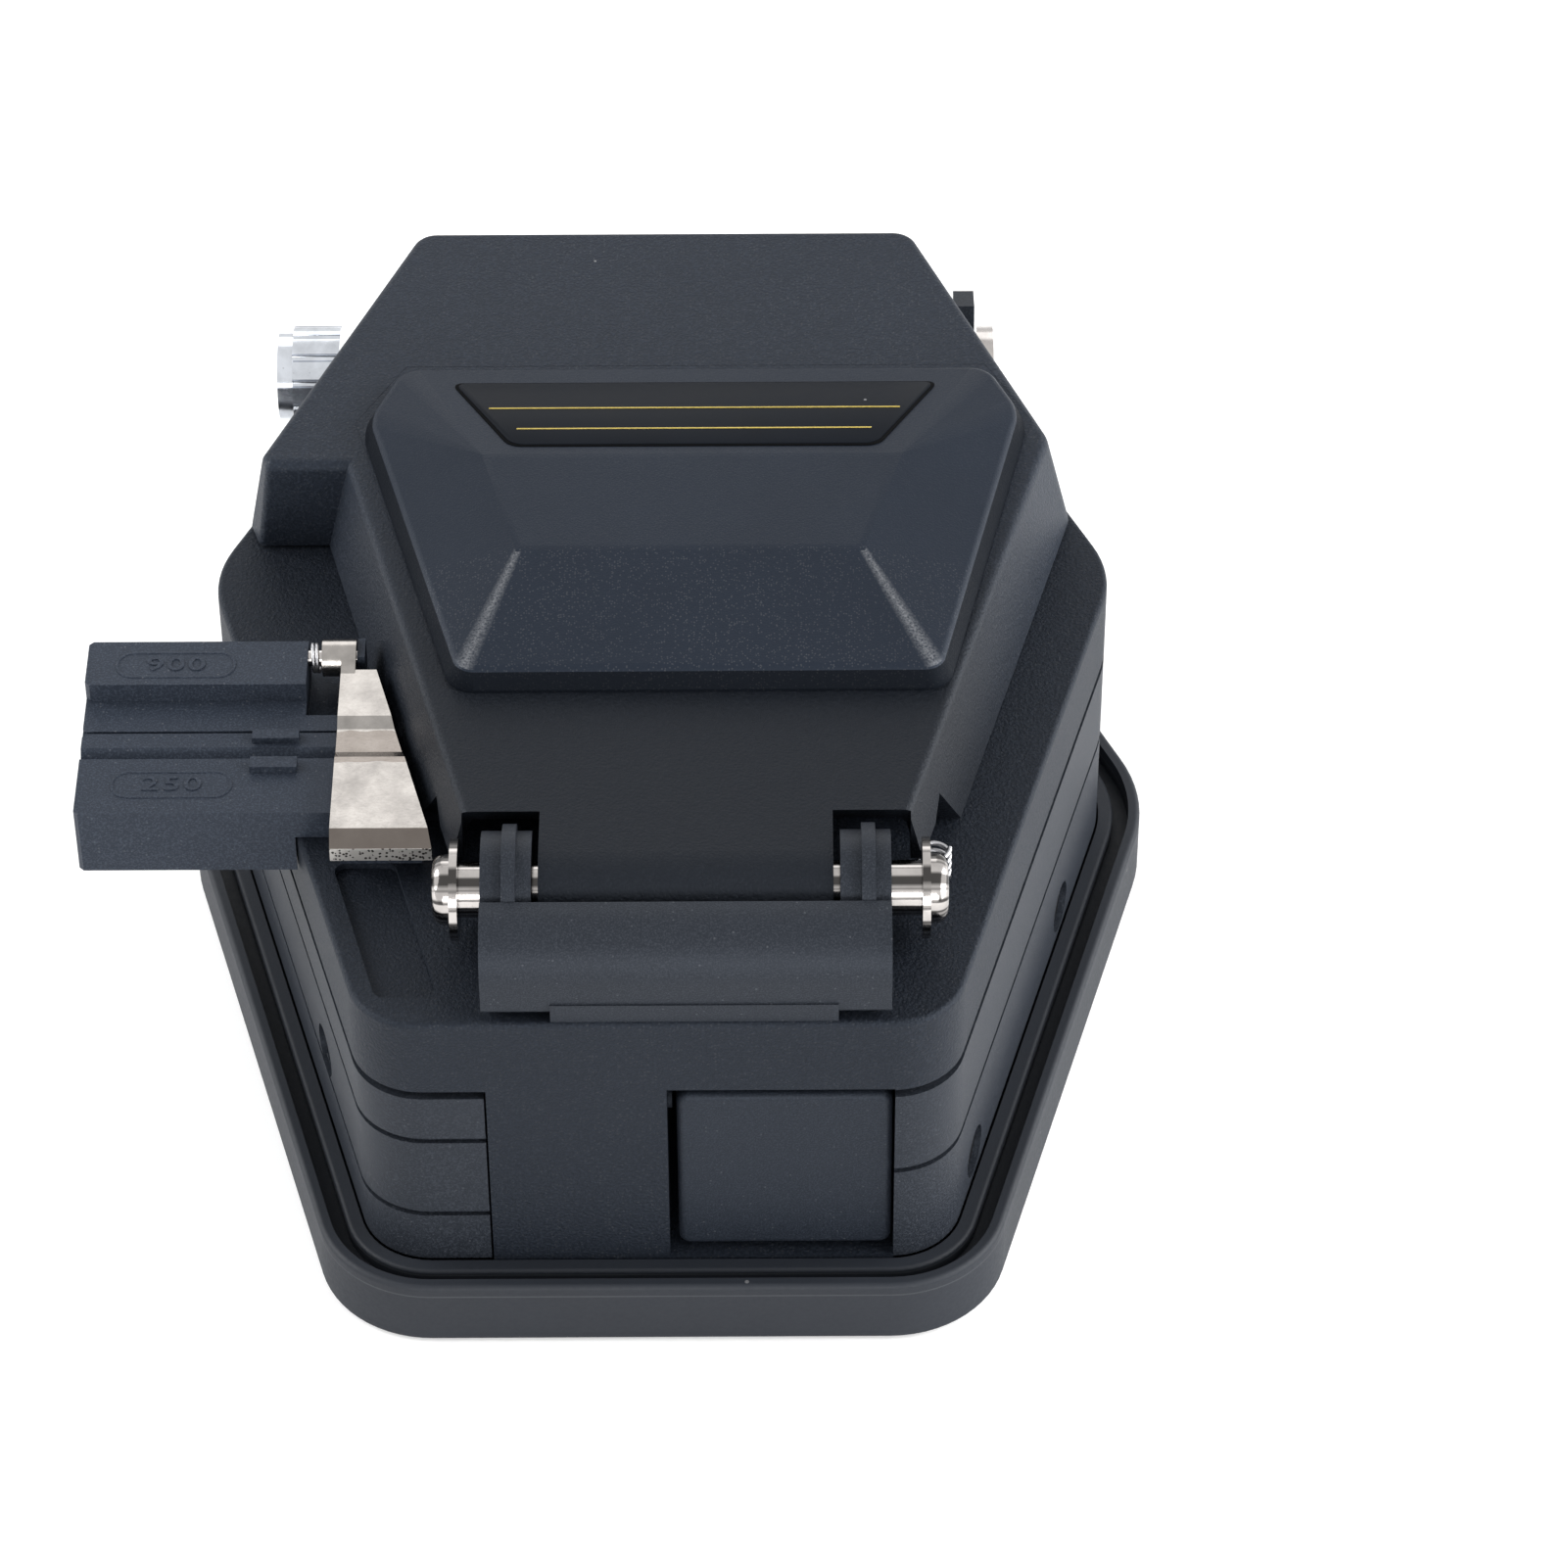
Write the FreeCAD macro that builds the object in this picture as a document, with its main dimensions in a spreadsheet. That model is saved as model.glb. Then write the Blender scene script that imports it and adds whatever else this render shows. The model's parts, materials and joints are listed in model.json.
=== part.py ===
# Fibre cleaver for cutting optical fibre ends square.
# Frame: +X right, +Y away from the user, +Z up; origin at the centre of the rubber foot's underside.
# All sizes are millimetres.
import FreeCAD, Part
import os
import Sketcher

V = FreeCAD.Vector
DOC = FreeCAD.newDocument("fibre_cleaver")
SHEET = DOC.addObject("Spreadsheet::Sheet", "dims")

DIMENSIONS = {
    # plan of the six-sided body
    "half_front": 25.5, "half_mid": 42.3, "half_rear": 24.3,
    "depth_front": 58.9, "depth_rear": 40.0,
    "corner_round": 6.5, "side_round": 12.0,
    # levels of the stacked casings
    "foot_floor": 2.4, "foot_height": 7.0, "foot_border": 4.2, "foot_lip": 1.1,
    "foot_gap": 0.2, "bead_width": 1.4, "bead_drop": 0.7, "channel_depth": 2.2,
    "base_top": 6.6, "deck_top": 36.2, "deck_depth": -8.3,
    "cover_wall": 2.0, "cover_gap": 0.2, "cover_step": 0.9,
    "cover_left_edge": -15.2, "line_width": 0.6, "line_depth": 0.45,
    "line_left_high": 21.7, "line_left_low": 12.3, "line_right": 17.6,
    "cover_screw_y": -31.4, "cover_screw_z": 14.6, "rear_screw_y": 31.0,
    # tunnel for the blade carriage
    "tunnel_left": 0.8, "tunnel_width": 20.0, "tunnel_drop": -8.2, "tunnel_end": 24.0,
    # lid
    "lid_rise": 10.3, "lid_gap": 0.4, "lid_skin": 2.4, "lid_wall": 1.8, "lid_flare": 2.2,
    "lid_half_rear": 23.6, "lid_rear_y": 48.2, "lid_half_mid": 36.1, "lid_mid_y": 16.7,
    "ear_y": 13.3, "ear_side": 1.9, "lid_left_taper": 0.262, "lid_right_taper": 0.2785,
    "lid_left_x": -29.07, "lid_front_gap": 4.8, "cap_skirt": 1.3, "cap_seat": 1.0,
    "cap_height": 4.8, "cap_edge": 1.5,
    # main hinge
    "hinge_y": -38.6, "hinge_drop": -4.5, "hinge_pin_radius": 2.42, "pin_left": -17.1, "pin_length": 40.2,
    "bracket_left": -15.1, "bracket_width": 35.5, "ear_width": 4.4, "knuckle_gap": 0.6,
    "running_gap": 0.05, "ear_radius": 5.1, "washer_radius": 4.45, "washer_thick": 0.7,
    "screw_head_radius": 3.1, "screw_head_height": 1.6,
    # fibre holder and its clamp
    "holder_left": -52.0, "holder_front": -25.9, "holder_rear": -5.3, "holder_rise": 3.0,
    "holder_drop": -4.0, "shelf_rise": 2.0, "shelf_depth": 5.8, "fibre_y": -18.05,
    "groove_width": 1.5, "lid_clear": 0.6, "clamp_rise": 5.0, "clamp_thick": 1.2,
    "clamp_pin_y": -6.6, "clamp_pin_rise": 4.1, "clamp_pin_radius": 0.75, "clamp_knuckle": 1.7,
    "clamp_left": -28.9, "clamp_front": -31.3,
    # carriage and blade
    "blade_x": 11.25, "blade_y": -30.0, "blade_drop": -5.4, "blade_radius": 8.0, "blade_thick": 1.2,
    "push_play": -1.0, "push_height": 19.3, "push_low": 7.4, "push_face": -48.9, "push_depth": 8.0,
    "slide_travel": 24.0, "rail_width": 6.4, "rail_height": 3.6, "rail_seat": 3.0, "rail_gap": 0.06,
    # rear lock shaft
    "lock_y": 44.0, "lock_drop": -4.2, "lock_radius": 1.5,
}


# sizes that follow from two others, so that they keep their place when one of them is changed
SUMS = {
    "deck_bottom": ("deck_top", "deck_depth"), "tunnel_roof": ("deck_top", "tunnel_drop"),
    "lid_top": ("deck_top", "lid_rise"), "hinge_z": ("lid_top", "hinge_drop"),
    "holder_top": ("deck_top", "holder_rise"), "holder_bottom": ("deck_top", "holder_drop"),
    "clamp_top": ("deck_top", "clamp_rise"), "clamp_pin_z": ("deck_top", "clamp_pin_rise"),
    "blade_z": ("deck_top", "blade_drop"), "lock_z": ("deck_top", "lock_drop"),
    "push_width": ("tunnel_width", "push_play"),
}


class Dim:
    """A length that keeps both its number and the sheet expression it comes from."""

    def __init__(self, text, value):
        self.text = text
        self.value = float(value)

    def _join(self, other, sign, flip=False):
        other = other if isinstance(other, Dim) else Dim(repr(float(other)), other)
        a, b = (other, self) if flip else (self, other)
        results = {"+": lambda: a.value + b.value, "-": lambda: a.value - b.value,
                   "*": lambda: a.value * b.value, "/": lambda: a.value / b.value}
        return Dim("(%s %s %s)" % (a.text, sign, b.text), results[sign]())

    def __add__(self, other):
        return self._join(other, "+")

    def __radd__(self, other):
        return self._join(other, "+", True)

    def __sub__(self, other):
        return self._join(other, "-")

    def __rsub__(self, other):
        return self._join(other, "-", True)

    def __mul__(self, other):
        return self._join(other, "*")

    def __rmul__(self, other):
        return self._join(other, "*", True)

    def __truediv__(self, other):
        return self._join(other, "/")

    def __neg__(self):
        return Dim("(0 - %s)" % self.text, -self.value)


def root(dim):
    return Dim("sqrt(%s)" % dim.text, dim.value ** 0.5)


def fill_sheet():
    """Write the driving dimensions and those that follow from them, and give each an alias."""
    values = dict(DIMENSIONS)
    cells = {alias: str(value) for alias, value in DIMENSIONS.items()}
    for alias, (start, step) in SUMS.items():
        values[alias] = round(values[start] + values[step], 6)
        cells[alias] = "=%s + %s" % (start, step)
    for row, (alias, cell) in enumerate(cells.items(), start=1):
        SHEET.set("A%d" % row, alias)
        SHEET.set("B%d" % row, cell)
        SHEET.setAlias("B%d" % row, alias)
    DOC.recompute()
    return {alias: Dim("dims." + alias, value) for alias, value in values.items()}


D = type("Dims", (), fill_sheet())
PARTS = {}


def bind(thing, prop, dim):
    dim = dim if isinstance(dim, Dim) else Dim(repr(float(dim)), dim)
    thing.setExpression(prop, dim.text)


def number(dim):
    return dim.value if isinstance(dim, Dim) else float(dim)


PLANES = {"XY": "XY_Plane", "XZ": "XZ_Plane", "YZ": "YZ_Plane"}


class Body:
    """A PartDesign body with short calls for sketches and features.

    On every plane a start and a length run along the positive axis that the plane faces:
    Z for XY, Y for XZ and X for YZ.
    """

    def __init__(self, label):
        self.body = DOC.addObject("PartDesign::Body", label)
        self.body.Label = label
        self.label = label
        self.count = 0

    def name(self, kind):
        self.count += 1
        return "%s_%s%d" % (self.label, kind, self.count)

    def sketch(self, plane, start):
        sk = self.body.newObject("Sketcher::SketchObject", self.name("sketch"))
        origin = [f for f in self.body.Origin.OriginFeatures if f.Role == PLANES[plane]][0]
        sk.AttachmentSupport = [(origin, "")]
        sk.MapMode = "FlatFace"
        offset = -start if plane == "XZ" else start
        bind(sk, "AttachmentOffset.Base.z", offset)
        return sk

    def outline(self, sk, points):
        """Closed run of straight edges whose corners are tied to the sheet."""
        first = sk.GeometryCount
        flat = [V(number(x), number(y), 0) for x, y in points]
        for a, b in zip(flat, flat[1:] + flat[:1]):
            sk.addGeometry(Part.LineSegment(a, b), False)
        for i, (x, y) in enumerate(points):
            here = first + i
            before = first + (i - 1) % len(points)
            sk.addConstraint(Sketcher.Constraint("Coincident", before, 2, here, 1))
            for kind, dim in (("DistanceX", x), ("DistanceY", y)):
                value = number(dim)
                if abs(value) < 1e-9:
                    axis = -2 if kind == "DistanceX" else -1
                    sk.addConstraint(Sketcher.Constraint("PointOnObject", here, 1, axis))
                else:
                    index = sk.addConstraint(Sketcher.Constraint(kind, -1, 1, here, 1, value))
                    if isinstance(dim, Dim):
                        bind(sk, "Constraints[%d]" % index, dim)

    def ring(self, sk, x, y, radius):
        """Circle whose centre and radius are tied to the sheet."""
        here = sk.addGeometry(Part.Circle(V(number(x), number(y), 0), V(0, 0, 1), number(radius)), False)
        index = sk.addConstraint(Sketcher.Constraint("Radius", here, number(radius)))
        bind(sk, "Constraints[%d]" % index, radius)
        for kind, dim in (("DistanceX", x), ("DistanceY", y)):
            value = number(dim)
            if abs(value) < 1e-9:
                axis = -2 if kind == "DistanceX" else -1
                sk.addConstraint(Sketcher.Constraint("PointOnObject", here, 3, axis))
            else:
                index = sk.addConstraint(Sketcher.Constraint(kind, -1, 1, here, 3, value))
                bind(sk, "Constraints[%d]" % index, dim)

    def draw(self, plane, start, shapes):
        sk = self.sketch(plane, start)
        for shape in shapes:
            if len(shape) == 3 and not isinstance(shape[0], tuple):
                self.ring(sk, *shape)
            else:
                self.outline(sk, shape)
        return sk

    def pad(self, plane, start, length, *shapes):
        """Add material; each shape is a list of corners or a circle (x, y, radius)."""
        pad = self.body.newObject("PartDesign::Pad", self.name("pad"))
        pad.Profile = self.draw(plane, start, shapes)
        bind(pad, "Length", length)
        pad.Reversed = plane == "XZ"
        self.body.Tip = pad
        return self

    def pocket(self, plane, start, length, *shapes):
        """Remove material over the same run that pad would add it."""
        cut = self.body.newObject("PartDesign::Pocket", self.name("pocket"))
        cut.Profile = self.draw(plane, start, shapes)
        bind(cut, "Length", length)
        cut.Reversed = plane != "XZ"
        self.body.Tip = cut
        return self

    def loft(self, kind, low, low_points, high, high_points):
        """Drafted solid or hollow between two level outlines."""
        feature = self.body.newObject("PartDesign::" + kind, self.name("loft"))
        feature.Profile = self.draw("XY", low, [low_points])
        feature.Sections = [self.draw("XY", high, [high_points])]
        feature.Ruled = True
        self.body.Tip = feature
        return self

    def draft(self, degrees, level, test):
        """Lean the chosen upright faces outwards below a level face."""
        DOC.recompute()
        tip = self.body.Tip
        names = []
        neutral = []
        for i, face in enumerate(tip.Shape.Faces, start=1):
            normal = face.normalAt(0, 0)
            centre = face.CenterOfMass
            if abs(normal.z) > 0.9 and abs(centre.z - number(level)) < 1e-3:
                neutral.append("Face%d" % i)
            elif abs(normal.z) < 0.5 and test(normal, centre):
                names.append("Face%d" % i)
        lean = self.body.newObject("PartDesign::Draft", self.name("draft"))
        lean.Base = (tip, names)
        lean.NeutralPlane = (tip, neutral[:1])
        lean.Angle = degrees
        self.body.Tip = lean
        return self

    def revolve(self, plane, points, axis):
        turned = self.body.newObject("PartDesign::Revolution", self.name("turn"))
        sk = self.draw(plane, 0, [points])
        turned.Profile = sk
        turned.ReferenceAxis = (sk, [axis])
        turned.Angle = 360
        self.body.Tip = turned
        return self

    def edges(self, test):
        DOC.recompute()
        shape = self.body.Tip.Shape
        names = []
        for i, edge in enumerate(shape.Edges, start=1):
            ends = [v.Point for v in edge.Vertexes]
            if len(ends) == 2 and isinstance(edge.Curve, (Part.Line, Part.LineSegment)) and test(*ends):
                names.append("Edge%d" % i)
        return names

    def fillet(self, radius, test):
        names = self.edges(test)
        tip = self.body.Tip
        round_ = self.body.newObject("PartDesign::Fillet", self.name("fillet"))
        round_.Base = (tip, names)
        bind(round_, "Radius", radius)
        self.body.Tip = round_
        return self

    def chamfer(self, size, test):
        names = self.edges(test)
        tip = self.body.Tip
        bevel = self.body.newObject("PartDesign::Chamfer", self.name("chamfer"))
        bevel.Base = (tip, names)
        bind(bevel, "Size", size)
        self.body.Tip = bevel
        return self

    def done(self, x=None, y=None, z=None):
        """Place the body and list it as a finished piece."""
        place(self.body, x, y, z)
        PARTS[self.label] = self.body
        return self.body


def place(thing, x=None, y=None, z=None):
    for prop, dim in (("x", x), ("y", y), ("z", z)):
        if dim is not None:
            bind(thing, "Placement.Base." + prop, dim)


TURNS = {"X": FreeCAD.Rotation(V(0, 1, 0), 90), "Y": FreeCAD.Rotation(V(1, 0, 0), -90),
         "Z": FreeCAD.Rotation()}


def rod(label, radius, length, x, y, z, axis="Z"):
    """Round bar that starts at the given point and runs along the axis."""
    bar = DOC.addObject("Part::Cylinder", label)
    bar.Placement = FreeCAD.Placement(V(), TURNS[axis])
    bind(bar, "Radius", radius)
    bind(bar, "Height", length)
    place(bar, x, y, z)
    return bar


def block(label, wide, deep, tall, x, y, z):
    brick = DOC.addObject("Part::Box", label)
    for prop, dim in (("Length", wide), ("Width", deep), ("Height", tall)):
        bind(brick, prop, dim)
    place(brick, x, y, z)
    return brick


def joined(label, *pieces):
    whole = DOC.addObject("Part::MultiFuse", label)
    whole.Shapes = list(pieces)
    return whole


def group(label, *pieces):
    whole = DOC.addObject("Part::Compound", label)
    whole.Links = list(pieces)
    return whole


def cut(label, base, *tools):
    tool = tools[0] if len(tools) == 1 else joined(label + "_tools", *tools)
    result = DOC.addObject("Part::Cut", label)
    result.Base = base
    result.Tool = tool
    return result


def keep(thing, label=None):
    thing.Label = label or thing.Label
    PARTS[thing.Label] = thing
    return thing


def coil(label, radius, wire, pitch, height, x, y, z, axis="Z"):
    """Round-wire spring wound about its own axis."""
    path = DOC.addObject("Part::Helix", label + "_path")
    bind(path, "Radius", radius)
    bind(path, "Pitch", pitch)
    bind(path, "Height", height)
    ring = DOC.addObject("Part::Circle", label + "_wire")
    bind(ring, "Radius", wire)
    ring.Placement = FreeCAD.Placement(V(), FreeCAD.Rotation(V(1, 0, 0), 90))
    bind(ring, "Placement.Base.x", radius)
    spring = DOC.addObject("Part::Sweep", label)
    spring.Sections = [ring]
    spring.Spine = (path, [])
    spring.Solid = True
    spring.Frenet = True
    spring.Placement = FreeCAD.Placement(V(), TURNS[axis])
    place(spring, x, y, z)
    return spring


# --- outlines shared by the casings -------------------------------------------------

MID_Y = (D.depth_front - D.depth_rear) / 2
FRONT_Y = MID_Y - D.depth_front
REAR_Y = MID_Y + D.depth_rear
FRONT_TAPER = (D.half_mid - D.half_front) / D.depth_front
REAR_TAPER = (D.half_mid - D.half_rear) / D.depth_rear
FRONT_SLANT = root(FRONT_TAPER * FRONT_TAPER + 1)
REAR_SLANT = root(REAR_TAPER * REAR_TAPER + 1)


def hexagon(grow):
    """Body outline moved outwards by grow on every side."""
    rise = grow * (REAR_SLANT - FRONT_SLANT) / (FRONT_TAPER + REAR_TAPER)
    front_x = D.half_front + grow * (FRONT_SLANT - FRONT_TAPER)
    rear_x = D.half_rear + grow * (REAR_SLANT - REAR_TAPER)
    mid_x = D.half_mid + rise * FRONT_TAPER + grow * FRONT_SLANT
    half = [(front_x, FRONT_Y - grow), (mid_x, MID_Y + rise), (rear_x, REAR_Y + grow)]
    return half + [(-x, y) for x, y in reversed(half)]


def body_side(y):
    """Half width of the body at a place in front of its widest point."""
    return D.half_front + (y - FRONT_Y) * FRONT_TAPER


def rear_side(y):
    """Half width of the body at a place behind its widest point."""
    return D.half_rear + (REAR_Y - y) * REAR_TAPER


def rectangle(x0, x1, y0, y1):
    return [(x0, y0), (x1, y0), (x1, y1), (x0, y1)]


def upright(a, b):
    return abs(a.x - b.x) < 1e-6 and abs(a.y - b.y) < 1e-6


def corners(grow, low, high, inside=False):
    """Test for upright edges at the front and rear corners of a hexagon."""
    spots = [(number(x), number(y)) for x, y in hexagon(grow)]
    ends = [spots[i] for i in (0, 2, 3, 5)]
    return lambda a, b: upright(a, b) and near_any(a, ends) and within(a, b, low, high)


def sides(grow, low, high):
    """Test for upright edges at the two side corners of a hexagon."""
    spots = [(number(x), number(y)) for x, y in hexagon(grow)]
    ends = [spots[i] for i in (1, 4)]
    return lambda a, b: upright(a, b) and near_any(a, ends) and within(a, b, low, high)


def near_any(point, spots, reach=0.05):
    return any(abs(point.x - x) < reach and abs(point.y - y) < reach for x, y in spots)


def on_outline(grow, height):
    """Test for the level straight edges of a hexagon at one height."""
    spots = [(number(x), number(y)) for x, y in hexagon(grow)]
    runs = list(zip(spots, spots[1:] + spots[:1]))

    def off_line(point, run):
        (x0, y0), (x1, y1) = run
        span = ((x1 - x0) ** 2 + (y1 - y0) ** 2) ** 0.5
        return abs((x1 - x0) * (point.y - y0) - (y1 - y0) * (point.x - x0)) / span

    def test(a, b):
        if max(abs(a.z - number(height)), abs(b.z - number(height))) > 1e-3:
            return False
        return any(off_line(a, run) < 0.01 and off_line(b, run) < 0.01 for run in runs)

    return test


def within(a, b, low, high):
    return min(a.z, b.z) > number(low) - 0.01 and max(a.z, b.z) < number(high) + 0.01


def rounded_hexagon(body, grow, start, length, cut_out=False):
    """Hexagonal slab or hollow with its corners rounded concentric with the body's."""
    (body.pocket if cut_out else body.pad)("XY", start, length, hexagon(grow))
    end = start + length
    body.fillet(D.corner_round + grow, corners(grow, start, end))
    body.fillet(D.side_round + grow, sides(grow, start, end))
    return body


# --- casings ------------------------------------------------------------------------

def slab(label, grow, start, length):
    """Rounded hexagonal block on its own, used as a blank or as a cutter."""
    return rounded_hexagon(Body(label), grow, start, length).body


def rubber_foot():
    """Tray moulded in rubber: lip, drip channel and the bead that the casing sits in."""
    channel_floor = D.foot_height - D.channel_depth
    bead_top = D.foot_height - D.bead_drop
    tray = Body("foot_tray")
    rounded_hexagon(tray, D.foot_border, Dim("0", 0), D.foot_height)
    tray.fillet(0.5, on_outline(D.foot_border, D.foot_height))
    tray.fillet(0.5, on_outline(D.foot_border, 0))
    bead = Body("foot_bead")
    rounded_hexagon(bead, D.foot_gap + D.bead_width, D.foot_floor, bead_top - D.foot_floor)
    bead.fillet(0.4, on_outline(D.foot_gap + D.bead_width, bead_top))
    channel = slab("foot_channel", D.foot_border - D.foot_lip, channel_floor, D.foot_height)
    well = slab("foot_well", D.foot_gap, D.foot_floor, D.foot_height)
    sole = Body("foot_sole").pad("XY", Dim("-1", -1), 1.6, hexagon(Dim("-9", -9))).body
    eyes = []
    rests = [rod("foot_centre", 14.0, 1.0, 0.0, 0.0, 0.0)]
    for i, (x, y) in enumerate(BASE_SCREWS):
        eyes.append(rod("foot_eye%d" % i, 4.0, D.foot_floor + 2, x, y, -1.0))
        rests.append(rod("foot_rest%d" % i, 6.2, 1.0, x, y, 0.0))
    shell = cut("foot_shell", joined("foot_blank", cut("foot_ring", tray.body, channel), bead.body), well,
                cut("foot_underside", sole, *rests), *eyes)
    return keep(shell, "rubber_foot")


def base_plate():
    plate = Body("base_plate")
    rounded_hexagon(plate, -D.cover_wall - D.cover_gap, D.foot_floor, D.base_top - D.foot_floor)
    plate.pad("XY", D.foot_floor, D.base_top - D.foot_floor,
              rectangle(D.cover_left_edge + D.cover_gap, D.tunnel_left + D.tunnel_width, FRONT_Y, FRONT_Y + 8))
    for x, y in BASE_SCREWS:
        plate.pocket("XY", Dim("1", 1), 8.0, (x, y, 1.6))
        plate.pocket("XY", Dim("1", 1), D.foot_floor + 1.0, (x, y, 3.05))
    side = D.rail_width / 2 + 3.4
    plate.pocket("XY", D.base_top - D.rail_seat, D.rail_seat + 1,
                 rectangle(RAIL_MID - side, RAIL_MID + side, FRONT_Y + 5.0, D.tunnel_end - 2.0))
    for y in RAIL_HOLES:
        plate.pocket("XY", Dim("1", 1), 4.0, (RAIL_MID, y, 1.1))
    return plate.done()


def base_screws():
    screws = []
    for i, (x, y) in enumerate(BASE_SCREWS):
        head = rod("base_head%d" % i, 2.9, 1.9, x, y, D.foot_floor + 0.1)
        shank = rod("base_shank%d" % i, 1.5, D.base_top - D.foot_floor + 4, x, y, D.foot_floor + 1.0)
        drive = socket("base_socket%d" % i, 1.25, 1.0, x, y, D.foot_floor - 0.4)
        screws.append(cut("base_screw%d" % i, joined("base_blank%d" % i, head, shank), drive))
    return keep(group("base_screws", *screws))


def socket(label, radius, depth, x, y, z, axis="Z"):
    """Hexagonal key recess."""
    key = DOC.addObject("Part::Prism", label)
    key.Polygon = 6
    key.Placement = FreeCAD.Placement(V(), TURNS[axis])
    bind(key, "Circumradius", radius)
    bind(key, "Height", depth + 0.5)
    place(key, x, y, z)
    return key


TUNNEL_RIGHT = D.tunnel_left + D.tunnel_width
CORE = -D.cover_wall - D.cover_gap
CHAMBER = (D.blade_x - 5.2, D.blade_x + 5.2)
BLADE_RUN = (D.blade_y - D.blade_radius - 1.2, D.blade_y + D.slide_travel + D.blade_radius + 1.2)


def main_body():
    """Cast body: deck block over a narrower core, with the tunnel that the carriage runs in."""
    body = Body("main_body")
    rounded_hexagon(body, Dim("0", 0), D.deck_bottom, D.deck_top - D.deck_bottom)
    body.fillet(0.5, lambda a, b: abs(a.z - b.z) < 1e-6 and a.z > D.deck_top.value - 0.01)
    rounded_hexagon(body, CORE, D.base_top, D.deck_bottom - D.base_top)
    body.pad("XY", D.base_top, D.deck_bottom - D.base_top,
             rectangle(D.cover_left_edge + D.cover_gap, D.tunnel_left + D.tunnel_width, FRONT_Y, FRONT_Y + 8))
    body.pocket("XY", D.base_top - 1, D.tunnel_roof - D.base_top + 1,
                rectangle(D.tunnel_left, TUNNEL_RIGHT, FRONT_Y - 1, D.tunnel_end))
    # chamber for the upright blade, then the narrow slot that its edge rises through
    body.pocket("XY", D.tunnel_roof - 1, D.deck_top - D.tunnel_roof - 0.8,
                rectangle(CHAMBER[0], CHAMBER[1], *BLADE_RUN))
    body.pocket("XY", D.tunnel_roof, D.deck_top - D.tunnel_roof + 1,
                rectangle(D.blade_x - D.blade_thick / 2 - 0.5, D.blade_x + D.blade_thick / 2 + 0.5, *BLADE_RUN))
    # shallow bare panel beside the hinge
    panel = [(-29.0, -29.2), (-23.4, -29.2), (-18.9, -46.0), (-24.4, -46.0)]
    body.pocket("XY", D.deck_top - 0.7, 2, panel)
    body.fillet(1.1, lambda a, b: upright(a, b) and near_any(a, panel))
    # the casting is cored out beside and behind the tunnel
    wall = 2.6
    shelf = D.deck_bottom - 3.0
    left_edge = D.tunnel_left - wall
    body.pocket("XY", D.base_top - 1, shelf - D.base_top + 1,
                [(left_edge, -38.0), (left_edge, 28.0), (-30.0, 28.0), (-36.2, 11.0), (-36.2, 4.0), (-29.8, -20.5),
                 (-19.0, -20.5), (-19.0, -38.0)])
    body.pocket("XY", D.base_top - 1, shelf - D.base_top + 1,
                [(TUNNEL_RIGHT + wall, -20.5), (29.8, -20.5), (36.2, 4.0), (36.2, 11.0), (30.0, 26.0),
                 (TUNNEL_RIGHT + wall, 26.0)])
    for x, y in BASE_SCREWS:
        body.pocket("XY", D.base_top - 1, 7.5, (x, y, 1.6))
    for x, y in DECK_SCREWS:
        body.pocket("XY", D.deck_top - 5.0, 6.0, (x, y, 1.1))
    body.pocket("YZ", -D.half_mid, D.half_mid * 2, (D.lock_y, D.lock_z, D.lock_radius + D.running_gap))
    body.pocket("YZ", D.tunnel_left - 6.0, 7.0, (FRONT_Y + 3.2, 24.2, 1.3))
    return body.done()


BASE_SCREWS = [(-24.5, -28.0), (24.5, -28.0), (-22.0, 36.0), (22.0, 36.0)]
ANVIL_SCREWS = [(-12.5, -18.05), (20.5, -18.05)]
HOLDER_SCREWS = [(-25.9, -24.6), (-26.6, -15.2)]
DECK_SCREWS = ANVIL_SCREWS + HOLDER_SCREWS


def cover(label, left):
    """Side cover that wraps one flank of the core, scored with grip lines."""
    shell = Body(label + "_blank")
    low = D.base_top - 0.2
    tall = D.deck_bottom - D.cover_step - low
    rounded_hexagon(shell, Dim("0", 0), low, tall)
    rounded_hexagon(shell, -D.cover_wall, low - 1, tall + 2, True)
    lines = [D.line_left_high, D.line_left_low] if left else [D.line_right]
    grooves = []
    for i, height in enumerate(lines):
        start = height - D.line_width / 2
        outer = slab("%s_ring%d" % (label, i), D.cover_wall, start, D.line_width)
        inner = slab("%s_core%d" % (label, i), -D.line_depth, start - 1, D.line_width + 2)
        grooves.append(cut("%s_groove%d" % (label, i), outer, inner))
    edge = D.cover_left_edge if left else TUNNEL_RIGHT
    middle = Dim("0.15", 0.15)
    far = D.half_mid + 2
    if left:
        shell.pocket("XY", low - 1, tall + 2, rectangle(edge, far, FRONT_Y - 1, MID_Y))
        shell.pocket("XY", low - 1, tall + 2, rectangle(-middle, far, MID_Y - 1, REAR_Y + 1))
    else:
        shell.pocket("XY", low - 1, tall + 2, rectangle(-far, edge, FRONT_Y - 1, MID_Y))
        shell.pocket("XY", low - 1, tall + 2, rectangle(-far, middle, MID_Y - 1, REAR_Y + 1))
    return keep(cut(label, shell.body, *grooves, *screw_sinks(label, left)))


def flank_turn(side):
    """Turn that lays a bar square to the front flank on one side."""
    lean = (D.half_mid.value - D.half_front.value) / D.depth_front.value
    return FreeCAD.Rotation(V(0, 0, 1), V(side, -lean, 0))


COVER_SCREW_SPOTS = [(-1, -31.4, 14.6), (-1, -4.0, 14.6), (1, -39.5, 9.4), (1, -8.0, 9.4)]


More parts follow.
